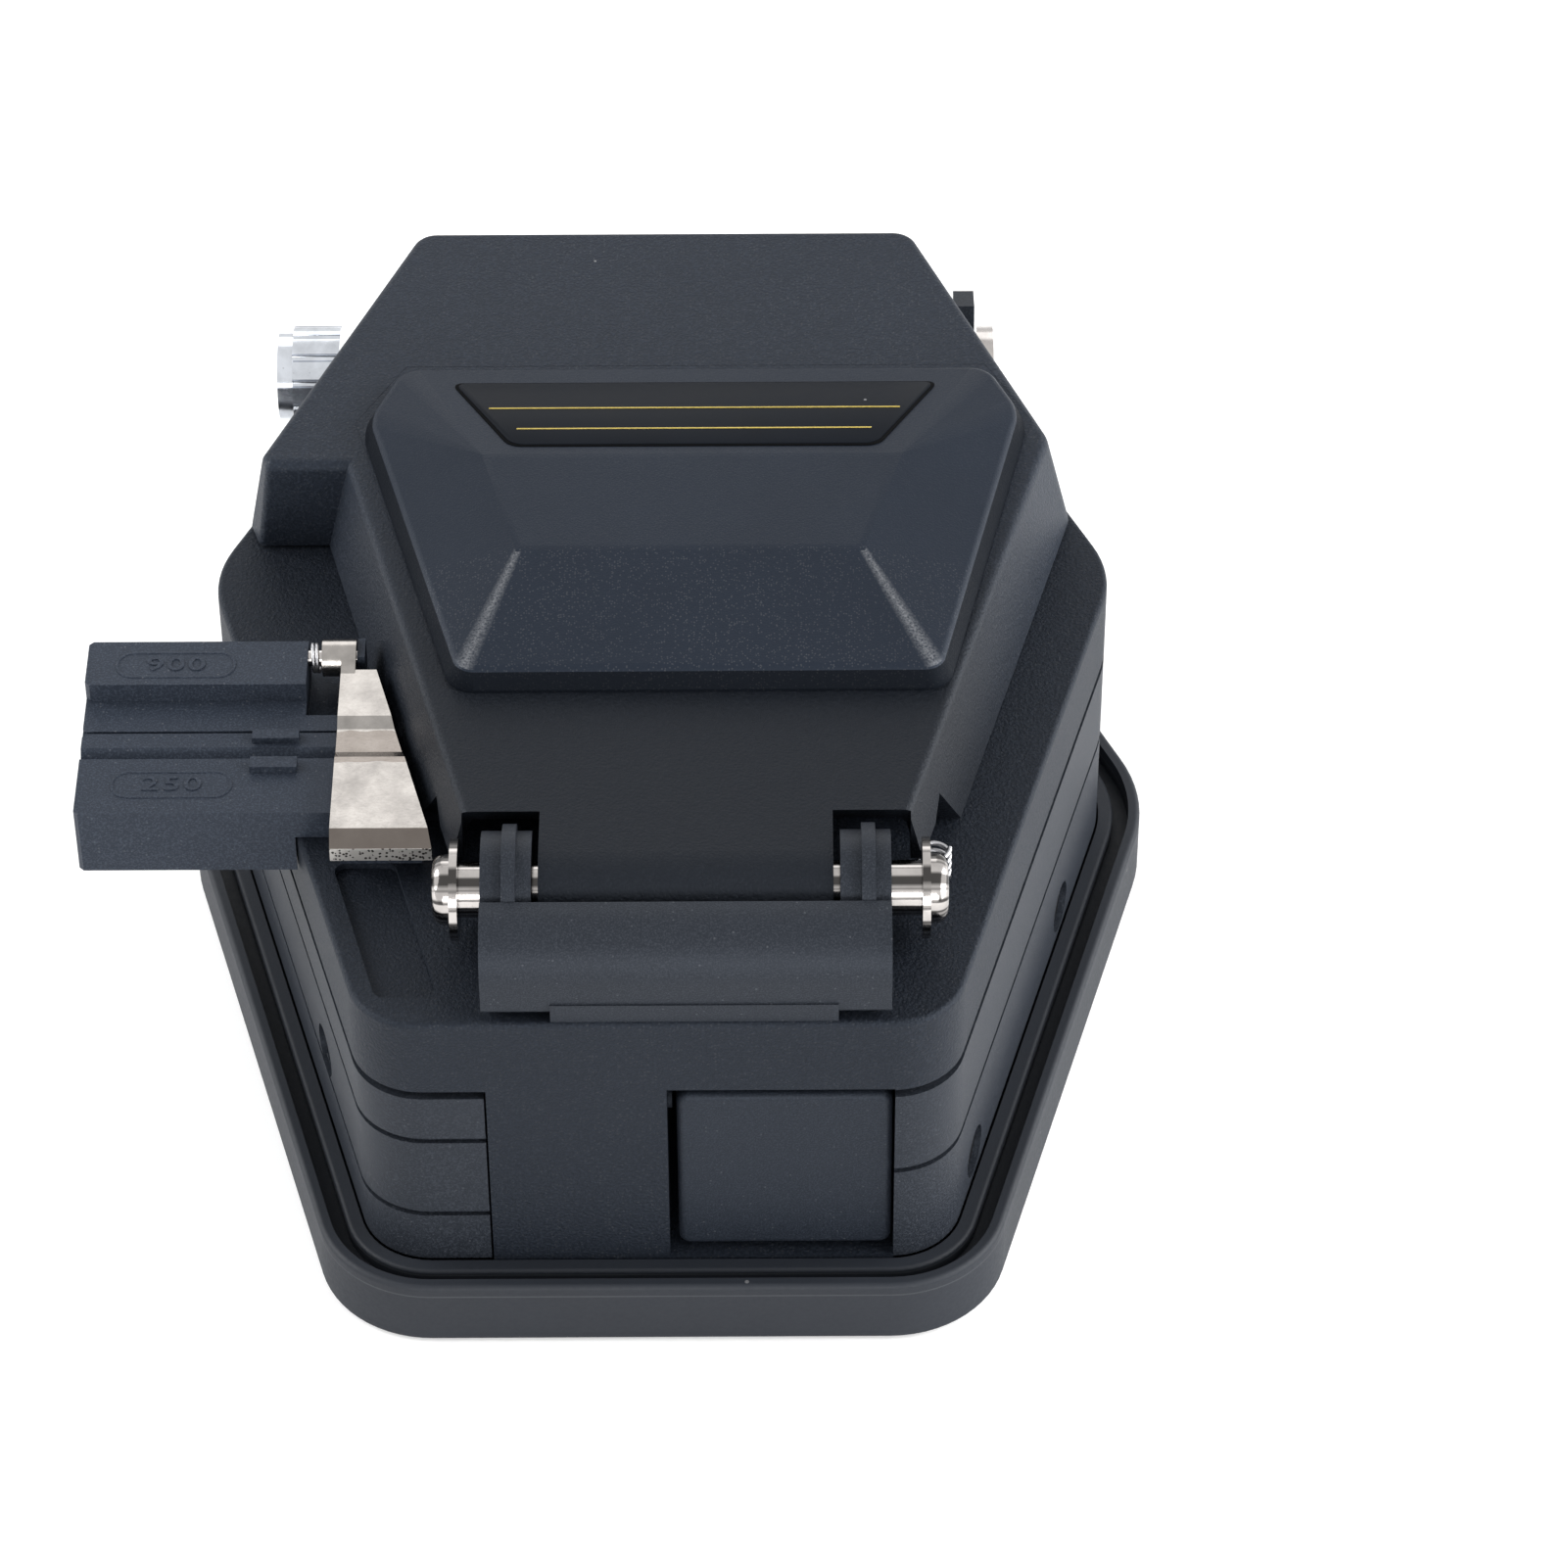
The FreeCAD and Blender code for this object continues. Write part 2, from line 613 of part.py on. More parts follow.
def flank_bar(label, radius, length, side, y, z, sink):
    """Round bar square to the front flank, starting the given depth below its face."""
    bar = DOC.addObject("Part::Cylinder", label)
    bind(bar, "Radius", radius)
    bind(bar, "Height", length)
    across = V(side * 1.0, -FRONT_TAPER.value, 0)
    bar.Placement = FreeCAD.Placement(V(), FreeCAD.Rotation(V(0, 0, 1), across))
    inward = sink / FRONT_SLANT
    place(bar, side * (body_side(Dim(repr(y), y)) - inward), y + inward * FRONT_TAPER, z)
    return bar


def screw_sinks(label, left):
    """Countersunk seats for the cover screws."""
    side = -1 if left else 1
    tools = []
    for i, (where, y, z) in enumerate(COVER_SCREW_SPOTS):
        if where == side:
            tools.append(flank_bar("%s_sink%d" % (label, i), 2.5, 3.0, side, y, z, Dim("1.4", 1.4)))
            tools.append(flank_bar("%s_hole%d" % (label, i), 1.1, 6.0, side, y, z, Dim("4.0", 4.0)))
    return tools


def cover_screws():
    screws = []
    for i, (side, y, z) in enumerate(COVER_SCREW_SPOTS):
        head = flank_bar("cover_head%d" % i, 2.2, 0.8, side, y, z, Dim("1.35", 1.35))
        shank = flank_bar("cover_shank%d" % i, 1.0, 1.3, side, y, z, Dim("2.15", 2.15))
        drive = flank_bar("cover_drive%d" % i, 0.8, 1.0, side, y, z, Dim("1.0", 1.0))
        screws.append(cut("cover_screw%d" % i, joined("cover_blank%d" % i, head, shank), drive))
    return keep(group("cover_screws", *screws))


# --- main hinge ---------------------------------------------------------------------

BRACKET_RIGHT = D.bracket_left + D.bracket_width
KNUCKLE_LEFT = D.bracket_left + D.ear_width + D.knuckle_gap
KNUCKLE_RIGHT = BRACKET_RIGHT - D.ear_width - D.knuckle_gap
KNUCKLE_RADIUS = D.lid_top - D.hinge_z


def level(height):
    return lambda a, b: abs(a.z - b.z) < 1e-6 and abs(a.z - number(height)) < 1e-3


def hinge_bracket():
    """Front bar with two ears that carry the hinge pin, ribbed over the top."""
    bracket = Body("hinge_bracket")
    foot_z = D.deck_top
    bar_back = D.hinge_y - KNUCKLE_RADIUS - 0.35
    bar_front = FRONT_Y + 0.5
    bracket.pad("YZ", D.bracket_left, D.bracket_width,
                [(bar_front, foot_z + 0.8), (bar_back, foot_z + 0.8), (bar_back, D.hinge_z + 3.2),
                 (bar_front, D.hinge_z + 3.2)])
    bracket.fillet((bar_back - bar_front) * 0.83,
                   lambda a, b: along_x(a, b) and a.z > D.hinge_z.value and a.y < bar_front.value + 0.1)
    bracket.fillet(0.6, lambda a, b: along_x(a, b) and a.z < foot_z.value + 1 and a.y < bar_front.value + 0.1)
    bracket.pad("XY", foot_z, 2.0, rectangle(D.bracket_left + 6.0, BRACKET_RIGHT - 4.6, bar_front - 0.15, bar_back))
    ear_front = bar_back - 1.5
    for x in (D.bracket_left, BRACKET_RIGHT - D.ear_width):
        rib = x + D.ear_width * 0.42
        for start, width, radius in ((x, D.ear_width, D.ear_radius), (rib, Dim("1.2", 1.2), D.ear_radius + 0.6)):
            back = D.hinge_y + radius
            bracket.pad("YZ", start, width, (D.hinge_y, D.hinge_z, radius))
            bracket.pad("YZ", start, width,
                        [(ear_front, foot_z), (back, foot_z), (back, D.hinge_z), (ear_front, D.hinge_z + 2.0)])
    bracket.pocket("YZ", D.bracket_left - 1, D.bracket_width + 2,
                   (D.hinge_y, D.hinge_z, D.hinge_pin_radius + 0.02))
    return bracket.done()


def along_x(a, b):
    return abs(a.y - b.y) < 1e-6 and abs(a.z - b.z) < 1e-6


def hinge_pin():
    """Plated tube that the lid turns on, with turned grooves near its ends."""
    pin = Body("hinge_pin")
    pin.pad("YZ", D.pin_left, D.pin_length, (D.hinge_y, D.hinge_z, D.hinge_pin_radius))
    for start in (D.pin_left - 1, D.pin_left + D.pin_length - 6):
        pin.pocket("YZ", start, 7.0, (D.hinge_y, D.hinge_z, 1.3))
    return pin.done()


def hinge_hardware():
    washers = []
    screws = []
    ends = ((D.pin_left - 0.02, -1), (D.pin_left + D.pin_length + 0.02, 1))
    for i, (x, side) in enumerate(ends):
        start = x - D.washer_thick if side < 0 else x
        disc = rod("washer_disc%d" % i, D.washer_radius, D.washer_thick, start, D.hinge_y, D.hinge_z, "X")
        hole = rod("washer_hole%d" % i, 1.6, 3.0, start - 1, D.hinge_y, D.hinge_z, "X")
        washers.append(cut("washer%d" % i, disc, hole))
        face = start - 0.02 if side < 0 else start + D.washer_thick + 0.02
        head_start = face - D.screw_head_height if side < 0 else face
        head = rod("pivot_head%d" % i, D.screw_head_radius, D.screw_head_height, head_start,
                   D.hinge_y, D.hinge_z, "X")
        dome = DOC.addObject("Part::Fillet", "pivot_dome%d" % i)
        dome.Base = head
        DOC.recompute()
        outer = number(head_start) if side < 0 else number(head_start) + D.screw_head_height.value
        names = [n for n, e in enumerate(head.Shape.Edges, start=1)
                 if len(e.Vertexes) == 1 and abs(e.BoundBox.XMin - outer) < 1e-3]
        dome.Edges = [(n, 1.1, 1.1) for n in names]
        shank_start = face if side < 0 else face - 5.5
        shank = rod("pivot_shank%d" % i, 1.25, 5.5, shank_start, D.hinge_y, D.hinge_z, "X")
        key_start = head_start - 0.5 if side < 0 else head_start + D.screw_head_height - 1.0
        key = socket("pivot_key%d" % i, 1.25, 1.0, key_start, D.hinge_y, D.hinge_z, "X")
        screws.append(cut("pivot_screw%d" % i, joined("pivot_blank%d" % i, dome, shank), key))
    keep(group("hinge_washers", *washers))
    keep(group("hinge_screws", *screws))


# --- lid ----------------------------------------------------------------------------

LID_LOW = D.deck_top + D.lid_gap
LID_FRONT = D.hinge_y + D.lid_front_gap
LID_UNDER = D.lid_top - D.lid_skin


def lid_left(y):
    return D.lid_left_x + (D.ear_y - y) * D.lid_left_taper


def lid_right(y):
    return D.lid_half_mid - (D.lid_mid_y - y) * D.lid_right_taper


def lid_outline(out, front=None):
    """Plan of the lid moved outwards by out; the front edge stays where the hinge needs it."""
    front = LID_FRONT if front is None else front
    mid = D.lid_half_mid + out
    ear_x = -D.lid_half_mid - 1.0 - out * 0.6
    rear = D.lid_rear_y + out * 0.45
    rear_x = D.lid_half_rear + out * 0.55
    return [(-rear_x, rear), (ear_x, D.lid_mid_y - D.ear_side + out * 0.3), (ear_x + 0.5, D.ear_y - out * 0.15),
            (lid_left(D.ear_y) - out, D.ear_y - out * 0.15), (lid_left(front) - out, front),
            (lid_right(front) + out, front), (mid, D.lid_mid_y + out * 0.2), (rear_x, rear)]


def hollow_outline(out, back, front):
    """Plan of the space inside the lid, its walls as thick at the ear as elsewhere."""
    ear_x = -D.lid_half_mid + 0.5 - out * 0.3
    rear = D.lid_rear_y - back
    rear_x = D.lid_half_rear + out * 0.55 - 0.3
    ear_front = D.ear_y + 1.7
    return [(-rear_x, rear), (ear_x, D.lid_mid_y + 0.4), (ear_x + 0.3, ear_front),
            (lid_left(ear_front) - out, ear_front), (lid_left(front) - out, front),
            (lid_right(front) + out, front), (D.lid_half_mid + out, D.lid_mid_y + out * 0.2), (rear_x, rear)]


def sloping(spots, reach=3.5):
    """Test for drafted corner edges that start close to the given spots."""
    def test(a, b):
        return abs(a.z - b.z) > 4 and near_any(a if a.z > b.z else b, spots, reach)
    return test


CAP_REAR = 26.2
CAP_SIDE_Y = 18.9
CAP_FRONT = -15.6


def cap_outline(grow):
    """Plan of the cap, starting at its rear left corner."""
    g = grow
    return [(-23.6 - g * 0.5, CAP_REAR + g), (-27.2 - g * 1.1, CAP_SIDE_Y + g * 0.3),
            (-17.7 - g * 0.8, CAP_FRONT - g), (24.1 + g * 0.8, CAP_FRONT - g),
            (33.2 + g * 1.1, CAP_SIDE_Y + g * 0.3), (29.8 + g * 0.5, CAP_REAR + g)]


def crown_outline():
    """Flat top of the cap, its corners chosen so that all the facets around it are plane."""
    rear_left, side_left, front_left, front_right, side_right, rear_right = cap_outline(0)
    ridge_rear = 8.8
    ridge_front = -4.0
    knee = ridge_rear - 0.7
    brow_left = -12.2
    brow_right = 18.7
    lean_left = (side_left[0] - front_left[0]) / (side_left[1] - front_left[1])
    lean_right = (side_right[0] - front_right[0]) / (side_right[1] - front_right[1])
    tail_left = (rear_left[0] - side_left[0]) / (rear_left[1] - side_left[1])
    tail_right = (rear_right[0] - side_right[0]) / (rear_right[1] - side_right[1])
    knee_left = brow_left + (knee - ridge_front) * lean_left
    knee_right = brow_right + (knee - ridge_front) * lean_right
    return [(knee_left + 0.7 * tail_left, ridge_rear), (knee_left, knee), (brow_left, ridge_front),
            (brow_right, ridge_front), (knee_right, knee), (knee_right + 0.7 * tail_right, ridge_rear)]


def on_ear(point):
    return point.x < -30.0 and D.ear_y.value - 1 < point.y < D.lid_mid_y.value


def lid():
    """Drafted lid shell with its hinge knuckle, the seat for the cap and the relief notches."""
    shell = Body("lid")
    shell.pad("XY", LID_LOW, D.lid_top - LID_LOW, lid_outline(Dim("0", 0)))
    front = LID_FRONT.value + 0.1
    shell.draft(12.5, D.lid_top, lambda normal, centre: abs(normal.x) > 0.75 and not on_ear(centre))
    shell.draft(6.0, D.lid_top, lambda normal, centre: abs(normal.x) <= 0.75 and centre.y > front and not on_ear(centre))
    shell.draft(7.0, D.lid_top, lambda normal, centre: on_ear(centre) and abs(normal.x) > 0.5)
    rear = D.lid_rear_y.value
    shell.fillet(2.4, sloping([(-D.lid_half_rear.value, rear), (D.lid_half_rear.value, rear)]))
    shell.fillet(3.5, sloping([(D.lid_half_mid.value, D.lid_mid_y.value)]))
    shell.fillet(0.8, sloping([(-D.lid_half_mid.value - 0.8, D.ear_y.value + 1)], 2.0))
    shell.fillet(0.9, lambda a, b: level(D.lid_top)(a, b) and min(a.y, b.y) > LID_FRONT.value - 0.1
                 and max(a.y, b.y) > LID_FRONT.value + 1)
    inner_front = LID_FRONT + 1.6
    wall = D.lid_wall
    shell.loft("SubtractiveLoft", LID_LOW - 1.0, hollow_outline(D.lid_flare - wall + 0.2, 0.6, inner_front),
               LID_UNDER, hollow_outline(-wall + D.lid_flare * 0.25, 1.6, inner_front))
    # knuckle that wraps the hinge pin, bridged to the skin
    width = KNUCKLE_RIGHT - KNUCKLE_LEFT
    shell.pad("YZ", KNUCKLE_LEFT, width, (D.hinge_y, D.hinge_z, KNUCKLE_RADIUS))
    shell.pad("YZ", KNUCKLE_LEFT, width,
              [(D.hinge_y, D.hinge_z + 0.5), (LID_FRONT + 3.0, D.hinge_z + 0.5),
               (LID_FRONT + 3.0, D.lid_top), (D.hinge_y, D.lid_top)])
    # room for the two ears of the bracket, with an undercut front edge
    for x0, x1 in ((lid_left(LID_FRONT) - 0.2, KNUCKLE_LEFT), (KNUCKLE_RIGHT, lid_right(LID_FRONT) + 0.2)):
        shell.pocket("YZ", x0, x1 - x0,
                     [(D.hinge_y - 6, LID_LOW - 2), (LID_FRONT + 2.9, LID_LOW - 2), (LID_FRONT + 2.9, D.hinge_z + 0.5),
                      (LID_FRONT + 0.3, D.lid_top + 0.01), (LID_FRONT + 0.3, D.lid_top + 2),
                      (D.hinge_y - 6, D.lid_top + 2)])
    shell.pocket("YZ", KNUCKLE_LEFT - 1, width + 2, (D.hinge_y, D.hinge_z, D.hinge_pin_radius + D.running_gap))
    # passage for the blade's edge under the knuckle
    shell.pocket("XY", LID_LOW - 1, 4.0,
                 rectangle(KNUCKLE_LEFT + 1.5, KNUCKLE_RIGHT - 0.4, LID_FRONT - 1, LID_FRONT + 1.8))
    # both side walls are cut short near the hinge, over the lift spring and the clamp's lip
    notch = [(LID_FRONT - 2, LID_LOW - 2), (-24.2, LID_LOW - 2), (-24.2, LID_LOW), (-26.9, LID_LOW + 5.6),
             (-29.4, LID_LOW + 4.3), (LID_FRONT - 2, LID_LOW + 4.3)]
    shell.pocket("YZ", -D.half_mid, D.half_mid * 2, notch)
    # seat for the cap
    shell.pocket("XY", D.lid_top - D.cap_seat, D.cap_seat + 1, cap_outline(D.cap_skirt + 0.06))
    for x, y in PLATE_SCREWS:
        shell.pocket("XY", LID_UNDER - 1, 1.9, (x, y, 1.05))
    return shell.done()


PLATE_SCREWS = [(-11.0, -10.5), (-11.0, -24.5), (21.0, -10.5), (18.5, -24.5)]
LIFT_SPRING = (24.4, -31.7)
PLATE_LOW = LID_UNDER - 1.82


def lid_cap():
    """Faceted cap that stands in the lid's seat."""
    cap = Body("lid_cap")
    low = D.lid_top - D.cap_seat + 0.02
    foot = D.lid_top + 0.1
    edge = D.lid_top + D.cap_edge
    cap.pad("XY", low, foot - low, cap_outline(D.cap_skirt))
    cap.loft("AdditiveLoft", foot, cap_outline(D.cap_skirt), edge, cap_outline(0.0))
    cap.loft("AdditiveLoft", edge, cap_outline(0.0), D.lid_top + D.cap_height, crown_outline())
    cap.fillet(1.1, lambda a, b: max(a.z, b.z) > foot.value + 0.5)
    return cap.done()


def upper_parts():
    """Inner plate under the lid with the two upper clamps, their rubbers and the anvil."""
    plate = Body("inner_plate")
    plate.pad("XY", PLATE_LOW, LID_UNDER - 0.02 - PLATE_LOW,
              [(-14.0, -27.0), (20.6, -27.0), (23.4, -22.0), (23.4, -8.0), (-14.0, -8.0)])
    plate.chamfer(1.5, lambda a, b: upright(a, b) and a.x < 0)
    for x, y in PLATE_SCREWS:
        plate.pocket("XY", PLATE_LOW - 1, 4, (x, y, 1.15))
    plate.pocket("XY", PLATE_LOW - 1, 4, around_anvil(1.6 + 0.15, 2.4 + 0.15))
    plate.pocket("XY", PLATE_LOW + 0.75, 2, around_anvil(2.8 + 0.15, 3.4 + 0.15))
    plate.done()
    screws = []
    for i, (x, y) in enumerate(PLATE_SCREWS):
        head = rod("plate_head%d" % i, 1.9, 0.8, x, y, PLATE_LOW - 0.82)
        shank = rod("plate_shank%d" % i, 1.0, 2.5, x, y, PLATE_LOW - 0.1)
        key = socket("plate_key%d" % i, 0.9, 0.5, x, y, PLATE_LOW - 1.32)
        screws.append(cut("plate_screw%d" % i, joined("plate_blank%d" % i, head, shank), key))
    keep(group("plate_screws", *screws))
    under = PLATE_LOW - 0.02
    for label, x0, x1 in (("left", -9.0, 8.8), ("right", 13.7, 19.8)):
        arm = Body("upper_%s_clamp" % label)
        arm.pad("XY", PAD_TOP + 0.75, under - PAD_TOP - 0.75, rectangle(x0, x1, D.fibre_y - 3.6, D.fibre_y + 3.6))
        arm.chamfer(0.7, lambda a, b: upright(a, b))
        arm.done()
        pad = Body("upper_%s_rubber" % label)
        pad.pad("XY", PAD_TOP + 0.1, 0.64, rectangle(x0 + 0.9, x1 - 0.4, D.fibre_y - 2.4, D.fibre_y + 2.4))
        pad.done()


def around_anvil(half_wide, half_deep):
    return rectangle(D.blade_x - half_wide, D.blade_x + half_wide, D.fibre_y - half_deep, D.fibre_y + half_deep)


def anvil_parts():
    """Sprung anvil that bends the scored fibre; its head rests on a ledge in the inner plate."""
    anvil = Body("anvil")
    ledge = PLATE_LOW + 0.77
    anvil.pad("XY", PAD_TOP + 1.0, ledge - PAD_TOP - 1.0, around_anvil(1.6, 2.4))
    anvil.pad("XY", ledge, 0.45, around_anvil(2.8, 3.4))
    anvil.done()
    tip = Body("anvil_tip")
    tip.pad("XY", PAD_TOP + 0.4, 0.6, around_anvil(1.2, 1.8))
    tip.done()


PAD_TOP = D.deck_top + 2.9


def lower_parts():
    """Fibre rests on the deck either side of the blade, each with a rubber strip."""
    for label, x0, x1 in (("left", -15.0, 9.0), ("right", 13.5, 22.6)):
        rest = Body("lower_%s_rest" % label)
        rest.pad("XY", D.deck_top + 0.02, 2.3, rectangle(x0, x1, D.fibre_y - 5.5, D.fibre_y + 5.5))
        rest.chamfer(0.6, lambda a, b: level(D.deck_top + 2.32)(a, b) and abs(a.y - b.y) < 1e-6)
        if label == "left":
            groove = [(D.fibre_y - 0.6, D.deck_top + 2.4), (D.fibre_y, D.deck_top + 1.7), (D.fibre_y + 0.6, D.deck_top + 2.4)]
            rest.pocket("YZ", x0 - 1, 7.0, groove)
        pad_x0 = x0 + 6.4 if label == "left" else x0 + 0.4
        pad_x1 = x1 - 0.4 if label == "left" else x1 - 4.6
        rest.pocket("XY", D.deck_top + 1.4, 2.0, rectangle(pad_x0 - 0.1, pad_x1 + 0.1, D.fibre_y - 2.6, D.fibre_y + 2.6))
        for x, y in ANVIL_SCREWS:
            if x0 < x < x1:
                rest.pocket("XY", D.deck_top - 1, 5, (x, y + 4.0 - 4.0, 1.1))
                rest.pocket("XY", D.deck_top + 1.3, 3, (x, y, 2.0))
        rest.done()
        pad = Body("lower_%s_rubber" % label)
        pad.pad("XY", D.deck_top + 1.42, 1.48, rectangle(pad_x0, pad_x1, D.fibre_y - 2.5, D.fibre_y + 2.5))
        pad.done()
    screws = []
    for i, (x, y) in enumerate(ANVIL_SCREWS):
        head = rod("rest_head%d" % i, 1.85, 0.9, x, y, D.deck_top + 1.32)
        shank = rod("rest_shank%d" % i, 1.0, 4.5, x, y, D.deck_top - 3.0)
        screws.append(cut("rest_screw%d" % i, joined("rest_blank%d" % i, head, shank),
                          socket("rest_key%d" % i, 0.9, 0.6, x, y, D.deck_top + 1.9)))
    keep(group("rest_screws", *screws))


def magnets():
    stud = Body("catch_stud")
    stud.pad("XY", D.deck_top + 0.02, 5.0, (0.0, 38.0, 3.2))
    stud.done()
    magnet = Body("lid_magnet")
    magnet.pad("XY", D.deck_top + 5.3, LID_UNDER - D.deck_top - 5.32, (0.0, 38.0, 3.2))
    magnet.done()


# --- fibre holder and clamp ---------------------------------------------------------

def lid_foot_left(y):
    """Lower edge of the lid's left wall."""
    return lid_left(y) - D.lid_flare - 0.2


def holder():
    """Slotted fibre holder: a thick tongue beside the body and a thinner seat on the deck."""
    tongue = Body("fibre_holder")
    gap = D.cover_gap
    flank = lambda y: -body_side(y) - gap
    seat = D.deck_top + 0.02
    seat_front = D.holder_front - 3.4
    tongue.pad("XY", D.holder_bottom, D.holder_top - D.holder_bottom,
               [(D.holder_left, D.holder_front), (flank(D.holder_front), D.holder_front),
                (flank(D.holder_rear), D.holder_rear), (D.holder_left, D.holder_rear)])
    tongue.pad("XY", seat, D.holder_top - seat,
               [(flank(D.holder_front) - 1, D.holder_front), (-28.2, D.holder_front), (-28.2, seat_front),
                (lid_foot_left(seat_front) - D.lid_clear, seat_front),
                (lid_foot_left(D.holder_rear) - D.lid_clear, D.holder_rear), (flank(D.holder_rear) - 1, D.holder_rear)])
    shelf_front = D.holder_rear - D.shelf_depth
    tongue.pad("XY", D.holder_top - 0.5, D.shelf_rise + 0.5,
               [(D.holder_left, shelf_front), (CLAMP_SLOT[0], shelf_front), (CLAMP_SLOT[0], D.holder_rear),
                (D.holder_left, D.holder_rear)])
    # lug on the far side of the clamp's knuckle
    tongue.pad("YZ", CLAMP_SLOT[1], 0.7,
               [(D.clamp_pin_y - 1.5, D.holder_top - 0.5), (D.holder_rear, D.holder_top - 0.5),
                (D.holder_rear, D.clamp_pin_z + 1.2), (D.clamp_pin_y - 1.2, D.clamp_pin_z + 1.2)])
    # slot that the clamp's knuckle and spring sit in
    tongue.pocket("XY", D.holder_top - 2.0, 6.0,
                  rectangle(CLAMP_SLOT[0], CLAMP_SLOT[1], D.clamp_pin_y - 6.5, D.holder_rear + 1))
    # fibre groove, its guide line and the raised clip
    groove = D.groove_width / 2
    right = Dim("-16.0", -16.0)
    tongue.pocket("YZ", D.holder_left - 1, right - D.holder_left,
                  [(D.fibre_y - groove, D.holder_top + 0.01), (D.fibre_y, D.holder_top - 0.9),
                   (D.fibre_y + groove, D.holder_top + 0.01)])
    tongue.pocket("XY", D.holder_top - 0.3, 1.0,
                  rectangle(D.holder_left - 1, right, D.fibre_y + 2.6, D.fibre_y + 2.9))
    tongue.pad("XY", D.holder_top - 0.5, 1.2, rectangle(-36.6, -32.4, D.fibre_y + 1.2, D.fibre_y + 2.4))
    tongue.pad("XY", D.holder_top - 0.5, 1.2, rectangle(-36.6, -32.4, D.fibre_y - 2.6, D.fibre_y - 1.2))
    for x, y in HOLDER_SCREWS:
        tongue.pocket("XY", D.deck_top - 1, 6, (x, y, 1.15))
        tongue.pocket("XY", D.holder_top - 1.5, 4, (x, y, 2.1))
    tongue.pocket("YZ", CLAMP_SLOT[0] - 2.5, 8.2, (D.clamp_pin_y, D.clamp_pin_z, D.clamp_pin_radius + 0.03))
    tongue.chamfer(0.4, lambda a, b: near_end(a, b, D.holder_left))
    return tongue.done()


CLAMP_SLOT = (-32.0, -27.5)


def near_end(a, b, x):
    return abs(a.x - number(x)) < 1e-3 and abs(b.x - number(x)) < 1e-3 and upright(a, b)


def holder_screws():
    screws = []
    for i, (x, y) in enumerate(HOLDER_SCREWS):
        head = rod("holder_head%d" % i, 1.95, 1.2, x, y, D.holder_top - 1.48)
        shank = rod("holder_shank%d" % i, 1.0, 6.0, x, y, D.deck_top - 4.0)
        screws.append(cut("holder_screw%d" % i, joined("holder_blank%d" % i, head, shank),
                          socket("holder_key%d" % i, 0.95, 0.6, x, y, D.holder_top - 0.9)))
    return keep(group("holder_screws", *screws))


def clamp_pin():
    pin = Body("clamp_pin")
    pin.pad("YZ", CLAMP_SLOT[0] - 2.2, 7.3, (D.clamp_pin_y, D.clamp_pin_z, D.clamp_pin_radius))
    return pin.done()


def clamp_edge(y):
    """Right edge of the clamp, just clear of the lid's wall."""
    return lid_foot_left(y) - 0.1


def clamp():
    """Plated clamp: knuckle, pressed plate with a bead over the groove, and a turned-down tab."""
    plate = Body("clamp_plate")
    knuckle_x = CLAMP_SLOT[0] + 1.3
    knuckle_w = CLAMP_SLOT[1] - 0.1 - knuckle_x
    top = D.clamp_top
    under = top - D.clamp_thick
    plate.pad("YZ", knuckle_x, knuckle_w, (D.clamp_pin_y, D.clamp_pin_z, D.clamp_knuckle))
    back = D.clamp_pin_y - 2.6
    crest = D.clamp_pin_z + D.clamp_knuckle
    left = D.clamp_left
    plate.pad("YZ", left, CLAMP_SLOT[1] - 0.1 - left,
              [(back - 0.5, under), (D.clamp_pin_y, D.clamp_pin_z - 0.4), (D.clamp_pin_y, crest), (back - 0.5, top)])
    bead_back = D.fibre_y + 1.9
    bead_front = D.fibre_y - 1.9
    strip = [(back, under), (back, top), (bead_back + 0.8, top), (bead_back - 0.4, top - 0.55),
             (bead_front + 0.4, top - 0.55), (bead_front - 0.8, top), (D.clamp_front + 1.3, top),
             (D.clamp_front, top - 1.3), (D.clamp_front, top - 2.7), (D.clamp_front + 1.1, top - 2.7),
             (D.clamp_front + 1.1, under), (bead_front - 0.6, under), (bead_front + 0.3, under - 0.25),
             (bead_back - 0.3, under - 0.25), (bead_back + 0.6, under)]
    right = clamp_edge(D.clamp_front) + 1
    plate.pad("YZ", left, right - left, strip)
    plate.pocket("XY", D.deck_top, 10.0,
                 [(clamp_edge(back + 8), back + 8), (clamp_edge(D.clamp_front - 3), D.clamp_front - 3),
                  (right + 6, D.clamp_front - 3), (right + 6, back + 8)])
    plate.pocket("YZ", knuckle_x - 1, knuckle_w + 2, (D.clamp_pin_y, D.clamp_pin_z, D.clamp_pin_radius + D.running_gap))
    plate.done()
    rubber = Body("clamp_rubber")
    rubber.pad("XY", D.holder_top + 0.06, under - 0.27 - D.holder_top - 0.06,
               [(left + 0.8, bead_front + 0.7), (clamp_edge(bead_front) - 0.8, bead_front + 0.7),
                (clamp_edge(bead_back) - 0.8, bead_back - 0.7), (left + 0.8, bead_back - 0.7)])
    rubber.done()
    spring = coil("clamp_spring", 1.25, 0.16, 0.36, 0.72, CLAMP_SLOT[0] + 0.25, D.clamp_pin_y, D.clamp_pin_z, "X")
    keep(spring)


# --- carriage and blade -------------------------------------------------------------

